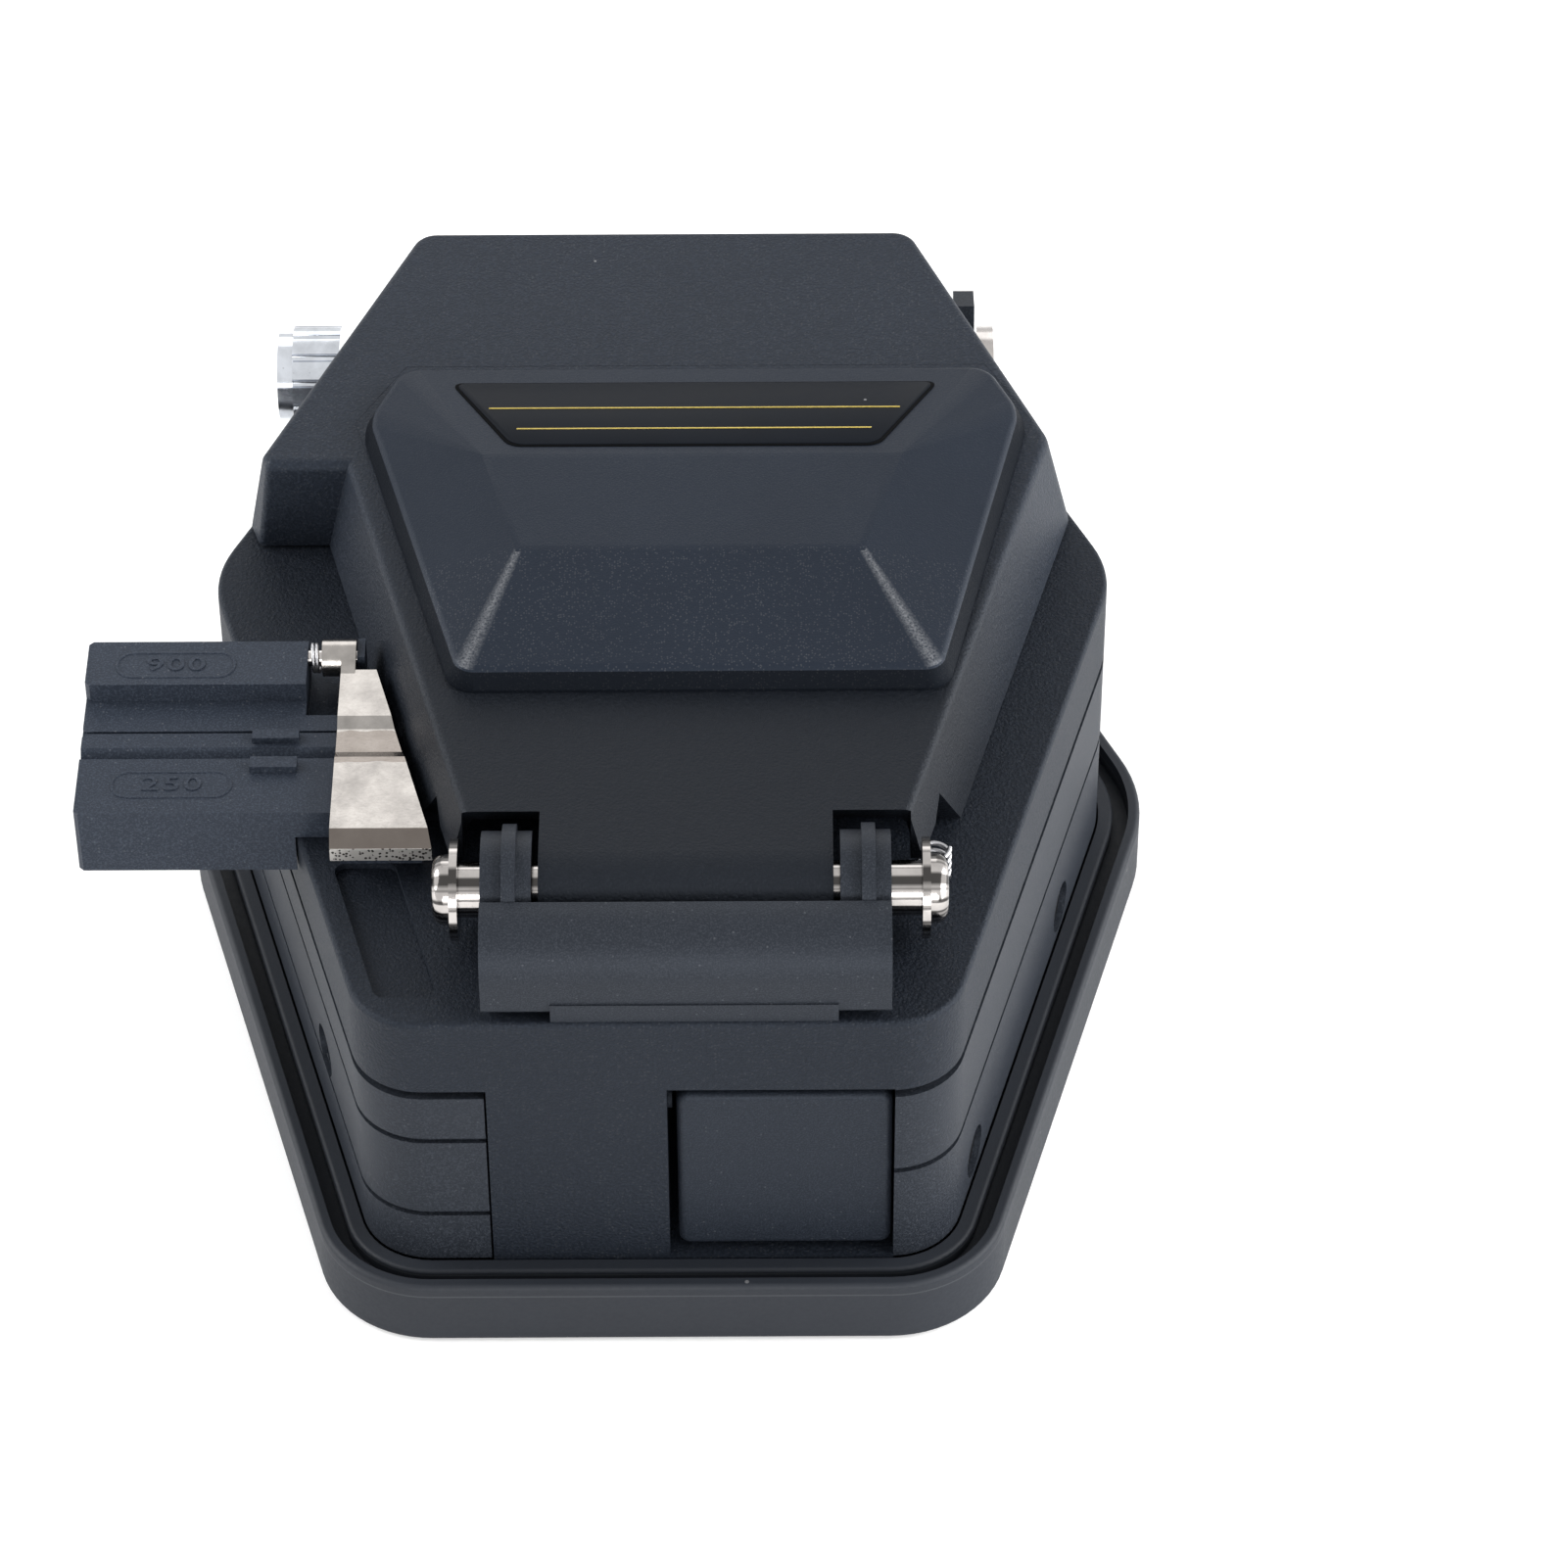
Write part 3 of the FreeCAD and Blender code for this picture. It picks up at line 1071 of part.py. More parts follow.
def carriage_parts():
    face = D.push_face
    low = D.push_low
    centre = D.tunnel_left + D.tunnel_width / 2
    left = centre + 0.3 - D.push_width / 2
    push = Body("push_block")
    push.pad("XZ", face, D.push_depth, rectangle(left, left + D.push_width, low, low + D.push_height))
    push.fillet(1.1, lambda a, b: abs(a.x - b.x) < 1e-6 and abs(a.z - b.z) < 1e-6)
    push.fillet(0.7, lambda a, b: max(a.y, b.y) < face.value + 0.01)
    push.done()
    back = face + D.push_depth + 0.02
    block_top = RAIL_TOP + 2.2
    slide = Body("carriage")
    slide.pad("XY", block_top + 0.02, 12.8, rectangle(left + 1.2, left + D.push_width - 1.2, back, D.blade_y + 15))
    slide.pocket("XY", block_top + 4.0, 14.0,
                 rectangle(D.blade_x - 3.2, D.blade_x + 1.4, D.blade_y - 9.2, D.blade_y + 9.2))
    slide.pad("YZ", D.blade_x + 1.6, 2.6,
              [(D.blade_y - 5.5, block_top + 6), (D.blade_y + 5.5, block_top + 6),
               (D.blade_y + 3.2, D.blade_z + 3.2), (D.blade_y - 3.2, D.blade_z + 3.2)])
    slide.pocket("YZ", D.blade_x, 8, (D.blade_y, D.blade_z, 1.5 + D.running_gap))
    slide.done()
    bearing = Body("rail_block")
    half = D.rail_width / 2
    gap = D.rail_gap
    mid = left + D.push_width / 2
    leg = RAIL_LOW + 0.5
    bearing.pad("XZ", D.blade_y - 5, 16.0,
                [(mid - half - 3.0, leg), (mid - half - gap, leg), (mid - half - gap, RAIL_TOP + gap),
                 (mid + half + gap, RAIL_TOP + gap), (mid + half + gap, leg), (mid + half + 3.0, leg),
                 (mid + half + 3.0, block_top), (mid - half - 3.0, block_top)])
    bearing.done()
    rail = Body("slide_rail")
    rail.pad("XZ", FRONT_Y + 8.5, D.tunnel_end - FRONT_Y - 12.5, rectangle(mid - half, mid + half, RAIL_LOW, RAIL_TOP))
    for y in RAIL_HOLES:
        rail.pocket("XY", RAIL_LOW - 1, 8, (mid, y, 1.1))
        rail.pocket("XY", RAIL_TOP - 1.6, 4, (mid, y, 2.0))
    rail.done()
    screws = []
    for i, y in enumerate(RAIL_HOLES):
        head = rod("rail_head%d" % i, 1.9, 1.2, mid, y, RAIL_TOP - 1.58)
        shank = rod("rail_shank%d" % i, 1.0, D.rail_height - 0.8, mid, y, RAIL_LOW - 0.8)
        screws.append(cut("rail_screw%d" % i, joined("rail_blank%d" % i, head, shank),
                          socket("rail_key%d" % i, 0.9, 0.6, mid, y, RAIL_TOP - 1.0)))
    keep(group("rail_screws", *screws))


RAIL_LOW = D.base_top - D.rail_seat + 0.02
RAIL_TOP = RAIL_LOW + D.rail_height
RAIL_MID = D.tunnel_left + D.tunnel_width / 2 + 0.3
RAIL_HOLES = (-38.0, -8.0, 15.0)


def blade_parts():
    """Disc blade ground to an edge, on a numbered hub whose axle turns in the carriage."""
    blade = Body("blade")
    half = D.blade_thick / 2
    r = D.blade_radius
    blade.revolve("XY", [(-half, 1.56), (half, 1.56), (half, r - 1.1), (0.0, r), (-half, r - 1.1)], "H_Axis")
    blade.done(D.blade_x, D.blade_y, D.blade_z)
    hub = Body("blade_hub")
    hub.pad("YZ", D.blade_x - half - 1.0, 0.98, (D.blade_y, D.blade_z, 3.0))
    hub.pad("YZ", D.blade_x - half - 0.5, D.blade_thick + 4.2, (D.blade_y, D.blade_z, 1.5))
    hub.done()
    nut = Body("blade_nut")
    nut.pad("YZ", D.blade_x + half + 0.02, 0.94, (D.blade_y, D.blade_z, 2.6), (D.blade_y, D.blade_z, 1.52))
    nut.done()


def stop_screw():
    """Small round stop in the tunnel's left wall."""
    stop = Body("stop_screw")
    stop.pad("YZ", D.tunnel_left - 5.0, 5.4, (FRONT_Y + 3.2, 24.2, 1.2))
    return stop.done()


# --- rear lock ----------------------------------------------------------------------

def lock_parts():
    """Cross shaft at the rear: plated knob on the left, disc and tab on the right."""
    # everything stands outside the body's slanting side, and outside the lid's, which spreads as it gets taller
    side = rear_side(D.lock_y - 2.4) + (D.lid_rise - 10.3) * 0.25
    knob_end = -(side + 10.17)
    shaft = Body("lock_shaft")
    shaft.pad("YZ", -(side + 4.57), side * 2 + 7.8, (D.lock_y, D.lock_z, D.lock_radius))
    shaft.done()
    knob = Body("lock_knob")
    knob.pad("YZ", knob_end, 1.5, (D.lock_y, D.lock_z, 4.3))
    knob.pad("YZ", knob_end + 1.5, 4.6, (D.lock_y, D.lock_z, 4.9))
    for i in range(12):
        turn = 30.0 * i
        spot = FreeCAD.Rotation(V(1, 0, 0), turn).multVec(V(0, 4.95, 0))
        knob.pocket("YZ", knob_end + 1.0, 6.0, (D.lock_y + spot.y, D.lock_z + spot.z, 0.42))
    knob.pocket("YZ", knob_end + 5.0, 2.0, (D.lock_y, D.lock_z, D.lock_radius + 0.02))
    knob.done()
    disc = Body("lock_disc")
    disc.pad("YZ", side + 2.57, 1.6, (D.lock_y, D.lock_z, 4.6))
    disc.pocket("YZ", side + 1.37, 2.2, (D.lock_y, D.lock_z, D.lock_radius + 0.02))
    disc.done()
    tab = Body("lock_tab")
    tab.pad("YZ", side + 0.27, 2.0, (D.lock_y, D.lock_z, 2.4))
    tab.pad("YZ", side + 0.27, 2.0, [(D.lock_y - 2.0, D.lock_z + 1.0), (D.lock_y + 2.2, D.lock_z + 0.6),
                              (D.lock_y + 3.8, D.lock_z + 7.2), (D.lock_y + 0.4, D.lock_z + 8.0)])
    tab.pocket("YZ", side - 0.83, 4.0, (D.lock_y, D.lock_z, D.lock_radius + 0.02))
    tab.done()


def lift_spring():
    spring = coil("lift_spring", 1.35, 0.22, 0.9, 3.6, LIFT_SPRING[0], LIFT_SPRING[1], D.deck_top + 0.3)
    return keep(spring)


def build():
    rubber_foot()
    base_plate()
    base_screws()
    main_body()
    cover("left_cover", True)
    cover("right_cover", False)
    cover_screws()
    hinge_bracket()
    hinge_pin()
    hinge_hardware()
    lid()
    lid_cap()
    upper_parts()
    anvil_parts()
    lower_parts()
    magnets()
    holder()
    holder_screws()
    clamp_pin()
    clamp()
    carriage_parts()
    blade_parts()
    stop_screw()
    lock_parts()
    lift_spring()


def check_and_write():
    """Refuse to write anything while a feature has failed."""
    DOC.recompute()
    faults = [o.Label for o in DOC.Objects if "Invalid" in o.State or "Error" in o.State]
    faults += [label for label, o in PARTS.items() if o.Shape.isNull() or not o.Shape.isValid()]
    if faults:
        raise SystemExit("failed pieces: %s" % ", ".join(sorted(set(faults))))
    os.makedirs("parts", exist_ok=True)
    for label, piece in PARTS.items():
        piece.Shape.exportStep("parts/%s.step" % label)
    print(len(PARTS), "pieces written")


build()
check_and_write()
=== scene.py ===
import json
import math

import bpy
from mathutils import Matrix, Vector


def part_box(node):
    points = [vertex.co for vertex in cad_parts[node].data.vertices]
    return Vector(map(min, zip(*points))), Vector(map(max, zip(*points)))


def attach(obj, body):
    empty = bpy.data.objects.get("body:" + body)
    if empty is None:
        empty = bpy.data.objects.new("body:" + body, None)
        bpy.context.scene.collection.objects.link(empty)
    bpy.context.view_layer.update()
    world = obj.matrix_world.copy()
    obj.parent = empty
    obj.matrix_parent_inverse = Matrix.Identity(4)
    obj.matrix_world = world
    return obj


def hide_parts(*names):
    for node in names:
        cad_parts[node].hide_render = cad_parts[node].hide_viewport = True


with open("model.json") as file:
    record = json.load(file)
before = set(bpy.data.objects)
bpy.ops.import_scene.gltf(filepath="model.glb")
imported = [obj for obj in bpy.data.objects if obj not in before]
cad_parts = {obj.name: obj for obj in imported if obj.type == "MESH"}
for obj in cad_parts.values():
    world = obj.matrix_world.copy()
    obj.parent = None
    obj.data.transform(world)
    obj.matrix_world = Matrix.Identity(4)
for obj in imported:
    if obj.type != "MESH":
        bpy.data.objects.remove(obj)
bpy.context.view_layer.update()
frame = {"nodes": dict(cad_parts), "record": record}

MM = 0.001
COLD_SHEEN = (0.78, 0.86, 1.0, 1.0)


# --- shader helpers -----------------------------------------------------------------

class Value:
    """A number on a node socket, so that sums on it add Math nodes."""

    def __init__(self, paint, socket):
        self.paint = paint
        self.socket = socket

    def math(self, operation, *others):
        return self.paint.node("ShaderNodeMath", {"operation": operation}, [self, *others])

    def __add__(self, other):
        return self.math("ADD", other)

    __radd__ = __add__

    def __mul__(self, other):
        return self.math("MULTIPLY", other)

    __rmul__ = __mul__

    def __sub__(self, other):
        return self.math("SUBTRACT", other)

    def __rsub__(self, other):
        return self.paint.node("ShaderNodeMath", {"operation": "SUBTRACT"}, [other, self])

    def __truediv__(self, other):
        return self.math("DIVIDE", other)

    def above(self, limit):
        return self.math("GREATER_THAN", limit)

    def below(self, limit):
        return self.math("LESS_THAN", limit)


class Paint:
    """One material and short calls for its nodes."""

    def __init__(self, name):
        self.material = bpy.data.materials.new(name)
        self.material.use_nodes = True
        self.tree = self.material.node_tree
        self.shader = self.tree.nodes["Principled BSDF"]
        self.output = self.tree.nodes["Material Output"]

    def node(self, kind, settings=None, inputs=None, out=0):
        made = self.tree.nodes.new(kind)
        for key, value in (settings or {}).items():
            setattr(made, key, value)
        pairs = inputs.items() if isinstance(inputs, dict) else enumerate(inputs or [])
        for key, value in pairs:
            self.feed(made.inputs[key], value)
        return Value(self, made.outputs[out])

    def feed(self, socket, value):
        if isinstance(value, Value):
            self.tree.links.new(value.socket, socket)
        else:
            socket.default_value = value

    def set(self, **sockets):
        for name, value in sockets.items():
            self.feed(self.shader.inputs[name.replace("_", " ")], value)

    def place(self):
        return self.node("ShaderNodeTexCoord", out="Object")

    def split(self, vector, axis):
        return self.node("ShaderNodeSeparateXYZ", None, [vector], out=axis)

    def noise(self, scale, detail=3.0, rough=0.55):
        return self.node("ShaderNodeTexNoise", None,
                         {"Vector": self.place(), "Scale": scale, "Detail": detail, "Roughness": rough})

    def specks(self, scale, share, size):
        """Mask of small scattered dots, white on a share of the cells."""
        settings = {"feature": "F1"}
        inputs = {"Vector": self.place(), "Scale": scale}
        near = self.node("ShaderNodeTexVoronoi", settings, inputs, out="Distance")
        tint = self.node("ShaderNodeTexVoronoi", settings, inputs, out="Color")
        pick = self.node("ShaderNodeSeparateColor", None, [tint], out=0)
        return near.below(size) * pick.above(1.0 - share)

    def from_line(self, start, along):
        """Distance from a line through a point, along a unit vector."""
        offset = self.node("ShaderNodeVectorMath", {"operation": "SUBTRACT"}, [self.place(), start])
        across = self.node("ShaderNodeVectorMath", {"operation": "CROSS_PRODUCT"}, [offset, along])
        return self.node("ShaderNodeVectorMath", {"operation": "LENGTH"}, [across], out="Value")

    def mix(self, mask, low, high):
        made = self.tree.nodes.new("ShaderNodeMix")
        made.data_type = "RGBA"
        self.feed(made.inputs[0], mask)
        self.feed(made.inputs[6], low)
        self.feed(made.inputs[7], high)
        return Value(self, made.outputs[2])

    def bump(self, height, strength, distance):
        return self.node("ShaderNodeBump", None,
                         {"Strength": strength, "Distance": distance, "Height": height})


def grey(level, blue=0.0):
    """Grey that leans to blue: its green rises a third as much as its blue."""
    return (level, level * (1.0 + blue * 0.33), level * (1.0 + blue), 1.0)


def tinted(colour, share):
    return (colour[0] * share, colour[1] * share, colour[2] * share, 1.0)


def textured_coat(name, level, rough, grain, sparkle, blue, depth=0.00006, painted_front_shade=None):
    """Blue-black coat with a fine stipple, a faint cloud, bright flecks and a little dust.

    The last argument gives the two places along the tool between which the coat goes from lit to dark:
    painted shade, darker towards the front.
    """
    paint = Paint(name)
    cloud = paint.noise(70.0, 3.0)
    stipple = paint.noise(grain, 3.0, 0.6)
    fleck = paint.specks(3100.0, sparkle, 0.30)
    dust = paint.specks(300.0, 0.010, 0.040)
    base = paint.mix(cloud, grey(level * 0.78, blue), grey(level * 1.16, blue))
    base = paint.mix((stipple - 0.46) * 5.0, base, grey(level * 2.0, blue * 0.8))
    base = paint.mix(fleck * cloud, base, grey(level * 5.0, 0.2))
    base = paint.mix(dust * 0.8, base, grey(0.22, 0.05))
    # painted shade: the coat's colour darkens towards the front of the tool
    if painted_front_shade:
        lit_end, dark = painted_front_shade
        along = paint.split(paint.place(), 1)
        painted_shade = ((lit_end - along) / (lit_end - dark)).math("MINIMUM", 1.0).math("MAXIMUM", 0.0)
        base = paint.mix(painted_shade * 0.85, base, grey(level * 0.2, blue))
    paint.set(Base_Color=base, Roughness=stipple * 0.3 + (rough - 0.15),
              Normal=paint.bump(stipple, 0.75, depth), Specular_IOR_Level=0.2, Specular_Tint=COLD_SHEEN)
    return paint.material


def cap_plastic(name, level, specular, rough):
    """Moulded plastic of the cap: fine sparkle, densest in front, and a painted highlight along the two front
    hips.
    """
    paint = Paint(name)
    cloud = paint.noise(70.0, 3.0)
    stipple = paint.noise(5200.0, 3.0, 0.6)
    fleck = paint.specks(4200.0, 0.5, 0.32)
    in_front = paint.split(paint.place(), 1).below(CAP_CROWN[1][1] * MM)
    dust = paint.specks(300.0, 0.010, 0.040)
    base = paint.mix(cloud, grey(level * 0.8, 0.95), grey(level * 1.15, 0.95))
    base = paint.mix(fleck * cloud * (in_front * 0.75 + 0.25), base, grey(level * 4.2, 0.2))
    base = paint.mix(dust * 0.8, base, grey(0.22, 0.05))
    height = paint.split(paint.place(), 2)
    # painted highlight: lighter, glossier lines along the two front hips of the cap
    reach = (CAP_TOP * MM - height) * 0.25 + 0.42 * MM
    painted_hip_highlight = 0.0
    for shoulder, crown in ((CAP_FOOT[2], CAP_CROWN[1]), (CAP_FOOT[3], CAP_CROWN[2])):
        low = Vector((*shoulder, CAP_SHOULDER)) + Vector((1.1 if shoulder[0] < 0.0 else -1.1, 1.1, 0.0))
        high = Vector((*crown, CAP_TOP))
        away = paint.from_line(low * MM, (high - low).normalized())
        painted_hip_highlight = (1.0 - away / reach).math("MAXIMUM", 0.0) + painted_hip_highlight
    painted_hip_highlight = painted_hip_highlight * (stipple * 2.4 - 0.7) * height.below((CAP_TOP - 0.12) * MM)
    painted_hip_highlight = painted_hip_highlight * height.above((CAP_SHOULDER - 0.2) * MM)
    base = paint.mix(painted_hip_highlight, base, grey(0.17, 0.1))
    paint.set(Base_Color=base, Roughness=stipple * 0.3 + (rough - 0.14) - painted_hip_highlight * 0.1,
              Normal=paint.bump(stipple, 0.75, 0.00006), Specular_IOR_Level=specular,
              Specular_Tint=COLD_SHEEN)
    return paint.material


def rubber(name, level, parting=None):
    """Moulded rubber: dull, with a soft bloom, dust, and a faint line at the height where its mould parts."""
    paint = Paint(name)
    grain = paint.noise(2600.0, 3.0)
    cloud = paint.noise(48.0, 3.0)
    dust = paint.specks(520.0, 0.03, 0.1)
    base = paint.mix(cloud, grey(level * 0.8, 0.7), grey(level * 1.2, 0.7))
    base = paint.mix(dust * 0.7, base, grey(0.16, 0.05))
    if parting:
        height = paint.split(paint.place(), 2)
        line = height.above(parting - 0.00009) * height.below(parting + 0.00009)
        base = paint.mix(line * 0.6, base, grey(0.045, 0.2))
    paint.set(Base_Color=base, Roughness=grain * 0.2 + 0.5,
              Normal=paint.bump(grain, 0.25, 0.00005), Specular_IOR_Level=0.3)
    return paint.material


def plated(name, colour, rough, axle=None):
    """Bright plate, faintly clouded and pitted, with painted reflections as light and dark stripes along its
    axle where it has one.

    Axle is where the axle, which runs across the tool, stands in the side view.
    """
    paint = Paint(name)
    polish = paint.noise(1500.0, 3.0)
    cloud = paint.noise(330.0, 4.0)
    pits = paint.specks(1900.0, 0.12, 0.18)
    base = paint.mix((cloud - 0.38) * 2.0 + 0.45, tinted(colour, 0.6), tinted(colour, 1.0))
    # painted reflections: light and dark stripes by angle round the axle, in the base colour
    if axle:
        along, height = paint.split(paint.place(), 1), paint.split(paint.place(), 2)
        turned = (height - axle[1]).math("ARCTAN2", along - axle[0])
        reflection_bands = paint.node("ShaderNodeTexNoise", {"noise_dimensions": "1D"},
                           {"W": turned, "Scale": 2.6, "Detail": 1.5})
        base = paint.mix((reflection_bands - 0.44) * 9.0, tinted(colour, 0.12), base)
    base = paint.mix(pits * 0.25, base, tinted(colour, 0.25))
    paint.set(Base_Color=base, Metallic=1.0, Roughness=polish * 0.16 + (rough - 0.08),
              Normal=paint.bump(polish, 0.08, 0.00003))
    return paint.material


def clamp_nickel():
    """Nickel of the fibre clamp: smooth face, tarnished along the bead, painted shade on the bevel, sheared
    front edge.
    """
    paint = Paint("clamp_nickel")
    along = paint.split(paint.place(), 1)
    height = paint.split(paint.place(), 2)
    cloud = paint.noise(420.0, 4.0)
    fine = paint.noise(3200.0, 3.0)
    colour = (0.44, 0.415, 0.39)
    base = paint.mix((cloud - 0.3) * 2.2, tinted(colour, 0.62), tinted(colour, 1.0))
    drift = (cloud - 0.5) * 0.0012
    beside = (along + drift).above(FIBRE_Y - 0.0034) * (along + drift).below(FIBRE_Y + 0.0012)
    base = paint.mix(beside * 0.6, base, (0.17, 0.14, 0.12, 1.0))
    # painted shade: the bevel along the front of the top is coloured dark brown
    bevel = along.below(CLAMP_FRONT + 0.00135) * height.above(CLAMP_TOP - 0.00128)
    base = paint.mix(bevel * 0.85, base, (0.12, 0.10, 0.087, 1.0))
    edge = along.below(CLAMP_FRONT + 0.0004) * height.below(CLAMP_TOP - 0.00128)
    base = paint.mix(edge * 0.9, base, (0.62, 0.60, 0.57, 1.0))
    torn = paint.specks(3400.0, 0.5, 0.45)
    base = paint.mix(edge * torn, base, (0.05, 0.045, 0.042, 1.0))
    paint.set(Base_Color=base, Metallic=1.0, Roughness=fine * 0.16 + 0.16 + edge * 0.2,
              Normal=paint.bump(fine + edge * torn * 4.0, 0.3, 0.00004))
    return paint.material


def machined(name, colour, rough):
    """Milled or ground metal, its fine lines running along the tool."""
    paint = Paint(name)
    lines = paint.node("ShaderNodeMapping", {"vector_type": "POINT"},
                       {"Vector": paint.place(), "Scale": (1.0, 0.05, 1.0)})
    cut = paint.node("ShaderNodeTexNoise", None, {"Vector": lines, "Scale": 4200.0, "Detail": 2.0})
    cloud = paint.noise(140.0, 2.0)
    base = paint.mix(cut * 0.6 + cloud * 0.4, tinted(colour, 0.7), tinted(colour, 1.05))
    paint.set(Base_Color=base, Metallic=1.0, Roughness=cut * 0.2 + rough,
              Normal=paint.bump(cut, 0.15, 0.00002))
    return paint.material


def label_film():
    """Smooth dark film in its shallow place."""
    paint = Paint("label_film")
    haze = paint.noise(160.0, 3.0)
    dust = paint.specks(420.0, 0.03, 0.07)
    base = paint.mix(haze, grey(0.0035, 0.9), grey(0.0065, 0.9))
    paint.set(Base_Color=paint.mix(dust * 0.8, base, grey(0.2, 0.05)), Roughness=haze * 0.14 + 0.34,
              Specular_IOR_Level=0.05)
    return paint.material


def painted_gap_shadow():
    """Near-black plate under the label, seen as a thin rim round it: painted shadow in the narrow gap around
    the label.
    """
    paint = Paint("painted_gap_shadow")
    shadow_mottle = paint.noise(900.0, 3.0)
    paint.set(Base_Color=paint.mix(shadow_mottle, grey(0.001, 0.2), grey(0.004, 0.2)), Roughness=shadow_mottle * 0.2 + 0.75,
              Specular_IOR_Level=0.05)
    return paint.material


def gold_print():
    """Flat gold ink, slightly uneven along its line."""
    paint = Paint("gold_print")
    wear = paint.noise(2400.0, 3.0)
    paint.set(Base_Color=paint.mix(wear, (0.30, 0.22, 0.035, 1.0), (0.56, 0.43, 0.09, 1.0)),
              Roughness=wear * 0.2 + 0.35)
    return paint.material


def corner(node, which, axis):
    """One number of a node's box: which is 0 for its low corner and 1 for its high one."""
    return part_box(node)[which][axis]


# cap, in millimetres: corners of its foot from the rear left round by the left, of its flange in the
# seat and of its crown, then its heights
CAP_FOOT = [(-24.9, 25.5), (-28.0, 17.6), (-18.4, -18.2), (25.9, -18.1), (34.2, 18.4), (31.1, 25.5)]
CAP_FLANGE = [(-24.28, 27.55), (-28.69, 19.31), (-18.78, -16.95),
              (25.18, -16.95), (34.69, 19.31), (30.47, 27.55)]
CAP_CROWN = [(-16.0, 8.8), (-12.6, -4.0), (18.3, -4.0), (21.9, 8.8)]
CAP_SEAT = 46.5
CAP_SHOULDER = 48.65
CAP_TOP = 51.28
FIBRE_Y = -18.05 * MM
CLAMP_FRONT = corner("clamp_plate", 0, 1)
CLAMP_TOP = 41.2 * MM

NICKEL = (0.56, 0.53, 0.51)

FINISHES = {
    "body_black": textured_coat("casing_coat", 0.0064, 0.54, 3600.0, 0.34, 0.95, 0.00017),
    "cover_black": textured_coat("cover_grain", 0.0125, 0.50, 4800.0, 0.05, 0.55),
    "bracket_black": textured_coat("bracket_satin", 0.0130, 0.44, 6500.0, 0.03, 0.5),
    # the lid's coat darkens from the rear towards the front: painted shade
    "lid_black": textured_coat("lid_coat", 0.0092, 0.50, 3600.0, 0.34, 0.95, 0.00015,
                               (12.0 * MM, -20.0 * MM)),
    "cap_black": cap_plastic("cap_grain", 0.0125, 0.12, 0.42),
    "holder_black": textured_coat("holder_grain", 0.0185, 0.48, 5200.0, 0.06, 0.8),
    "slider_blue": textured_coat("slider_satin", 0.0095, 0.46, 5600.0, 0.04, 0.8),
    "foot_rubber": rubber("foot_rubber", 0.0115, 5.8 * MM),
    "pad_rubber": rubber("pad_rubber", 0.03),
    "bare_aluminium": machined("milled_alloy", (0.62, 0.62, 0.64), 0.28),
    "steel": machined("ground_steel", (0.56, 0.56, 0.58), 0.22),
    "nickel": plated("nickel_plate", NICKEL, 0.18),
}
HINGE_AXLE = [(corner("hinge_pin", 0, axis) + corner("hinge_pin", 1, axis)) / 2 for axis in (1, 2)]
OWN_FINISHES = {
    "clamp_plate": clamp_nickel(),
    "stop_screw": FINISHES["body_black"],
    "lock_knob": plated("bright_plate", (0.70, 0.73, 0.78), 0.14),
    "cover_screws": machined("blackened_steel", (0.030, 0.031, 0.034), 0.34),
}
# the hinge pin, washers and screws get painted reflections round the hinge axle
for turned_node in ("hinge_pin", "hinge_washers", "hinge_screws"):
    OWN_FINISHES[turned_node] = plated("turned_" + turned_node, NICKEL, 0.15, HINGE_AXLE)

slots = {part["node"]: part["material_slot"] for part in frame["record"]["subparts"]}
for node, thing in frame["nodes"].items():
    finish = OWN_FINISHES.get(node, FINISHES[slots[node]])
    if not thing.material_slots:
        thing.data.materials.append(finish)
    for place in thing.material_slots:
        place.material = finish


# --- cap, label and raised marks ----------------------------------------------------

def choose(piece, kind, test):
    """Leave only the parts of a piece that pass a test selected, in edit mode."""
    bpy.ops.object.mode_set(mode="EDIT")
    bpy.ops.mesh.select_mode(type=kind)
    bpy.ops.mesh.select_all(action="DESELECT")
    bpy.ops.object.mode_set(mode="OBJECT")
    mesh = piece.data
    if kind == "VERT":
        for vertex in mesh.vertices:
            vertex.select = test(vertex.co)
    elif kind == "EDGE":
        for edge in mesh.edges:
            edge.select = test(*(mesh.vertices[i].co for i in edge.vertices))
    else:
        for face in mesh.polygons:
            face.select = test(face.center, face.normal)
    bpy.ops.object.mode_set(mode="EDIT")


def settle(piece, name, spot, lean, finish, body):
    """Move a finished piece to its place, fix that in its mesh and let it ride on its body."""
    bpy.ops.object.mode_set(mode="OBJECT")
    piece.name = piece.data.name = name
    piece.location = spot
    piece.rotation_euler = (lean, 0.0, 0.0)
    bpy.ops.object.transform_apply(location=True, rotation=True, scale=True)
    bpy.ops.object.shade_smooth_by_angle(angle=math.radians(35.0))
    piece.data.materials.clear()
    piece.data.materials.append(finish)
    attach(piece, body)


def slab(width, depth, thickness):
    bpy.ops.object.select_all(action="DESELECT")
    bpy.ops.mesh.primitive_cube_add(size=1.0)
    piece = bpy.context.object
    piece.scale = (width, depth, thickness)
    bpy.ops.object.transform_apply(location=False, rotation=False, scale=True)
    return piece


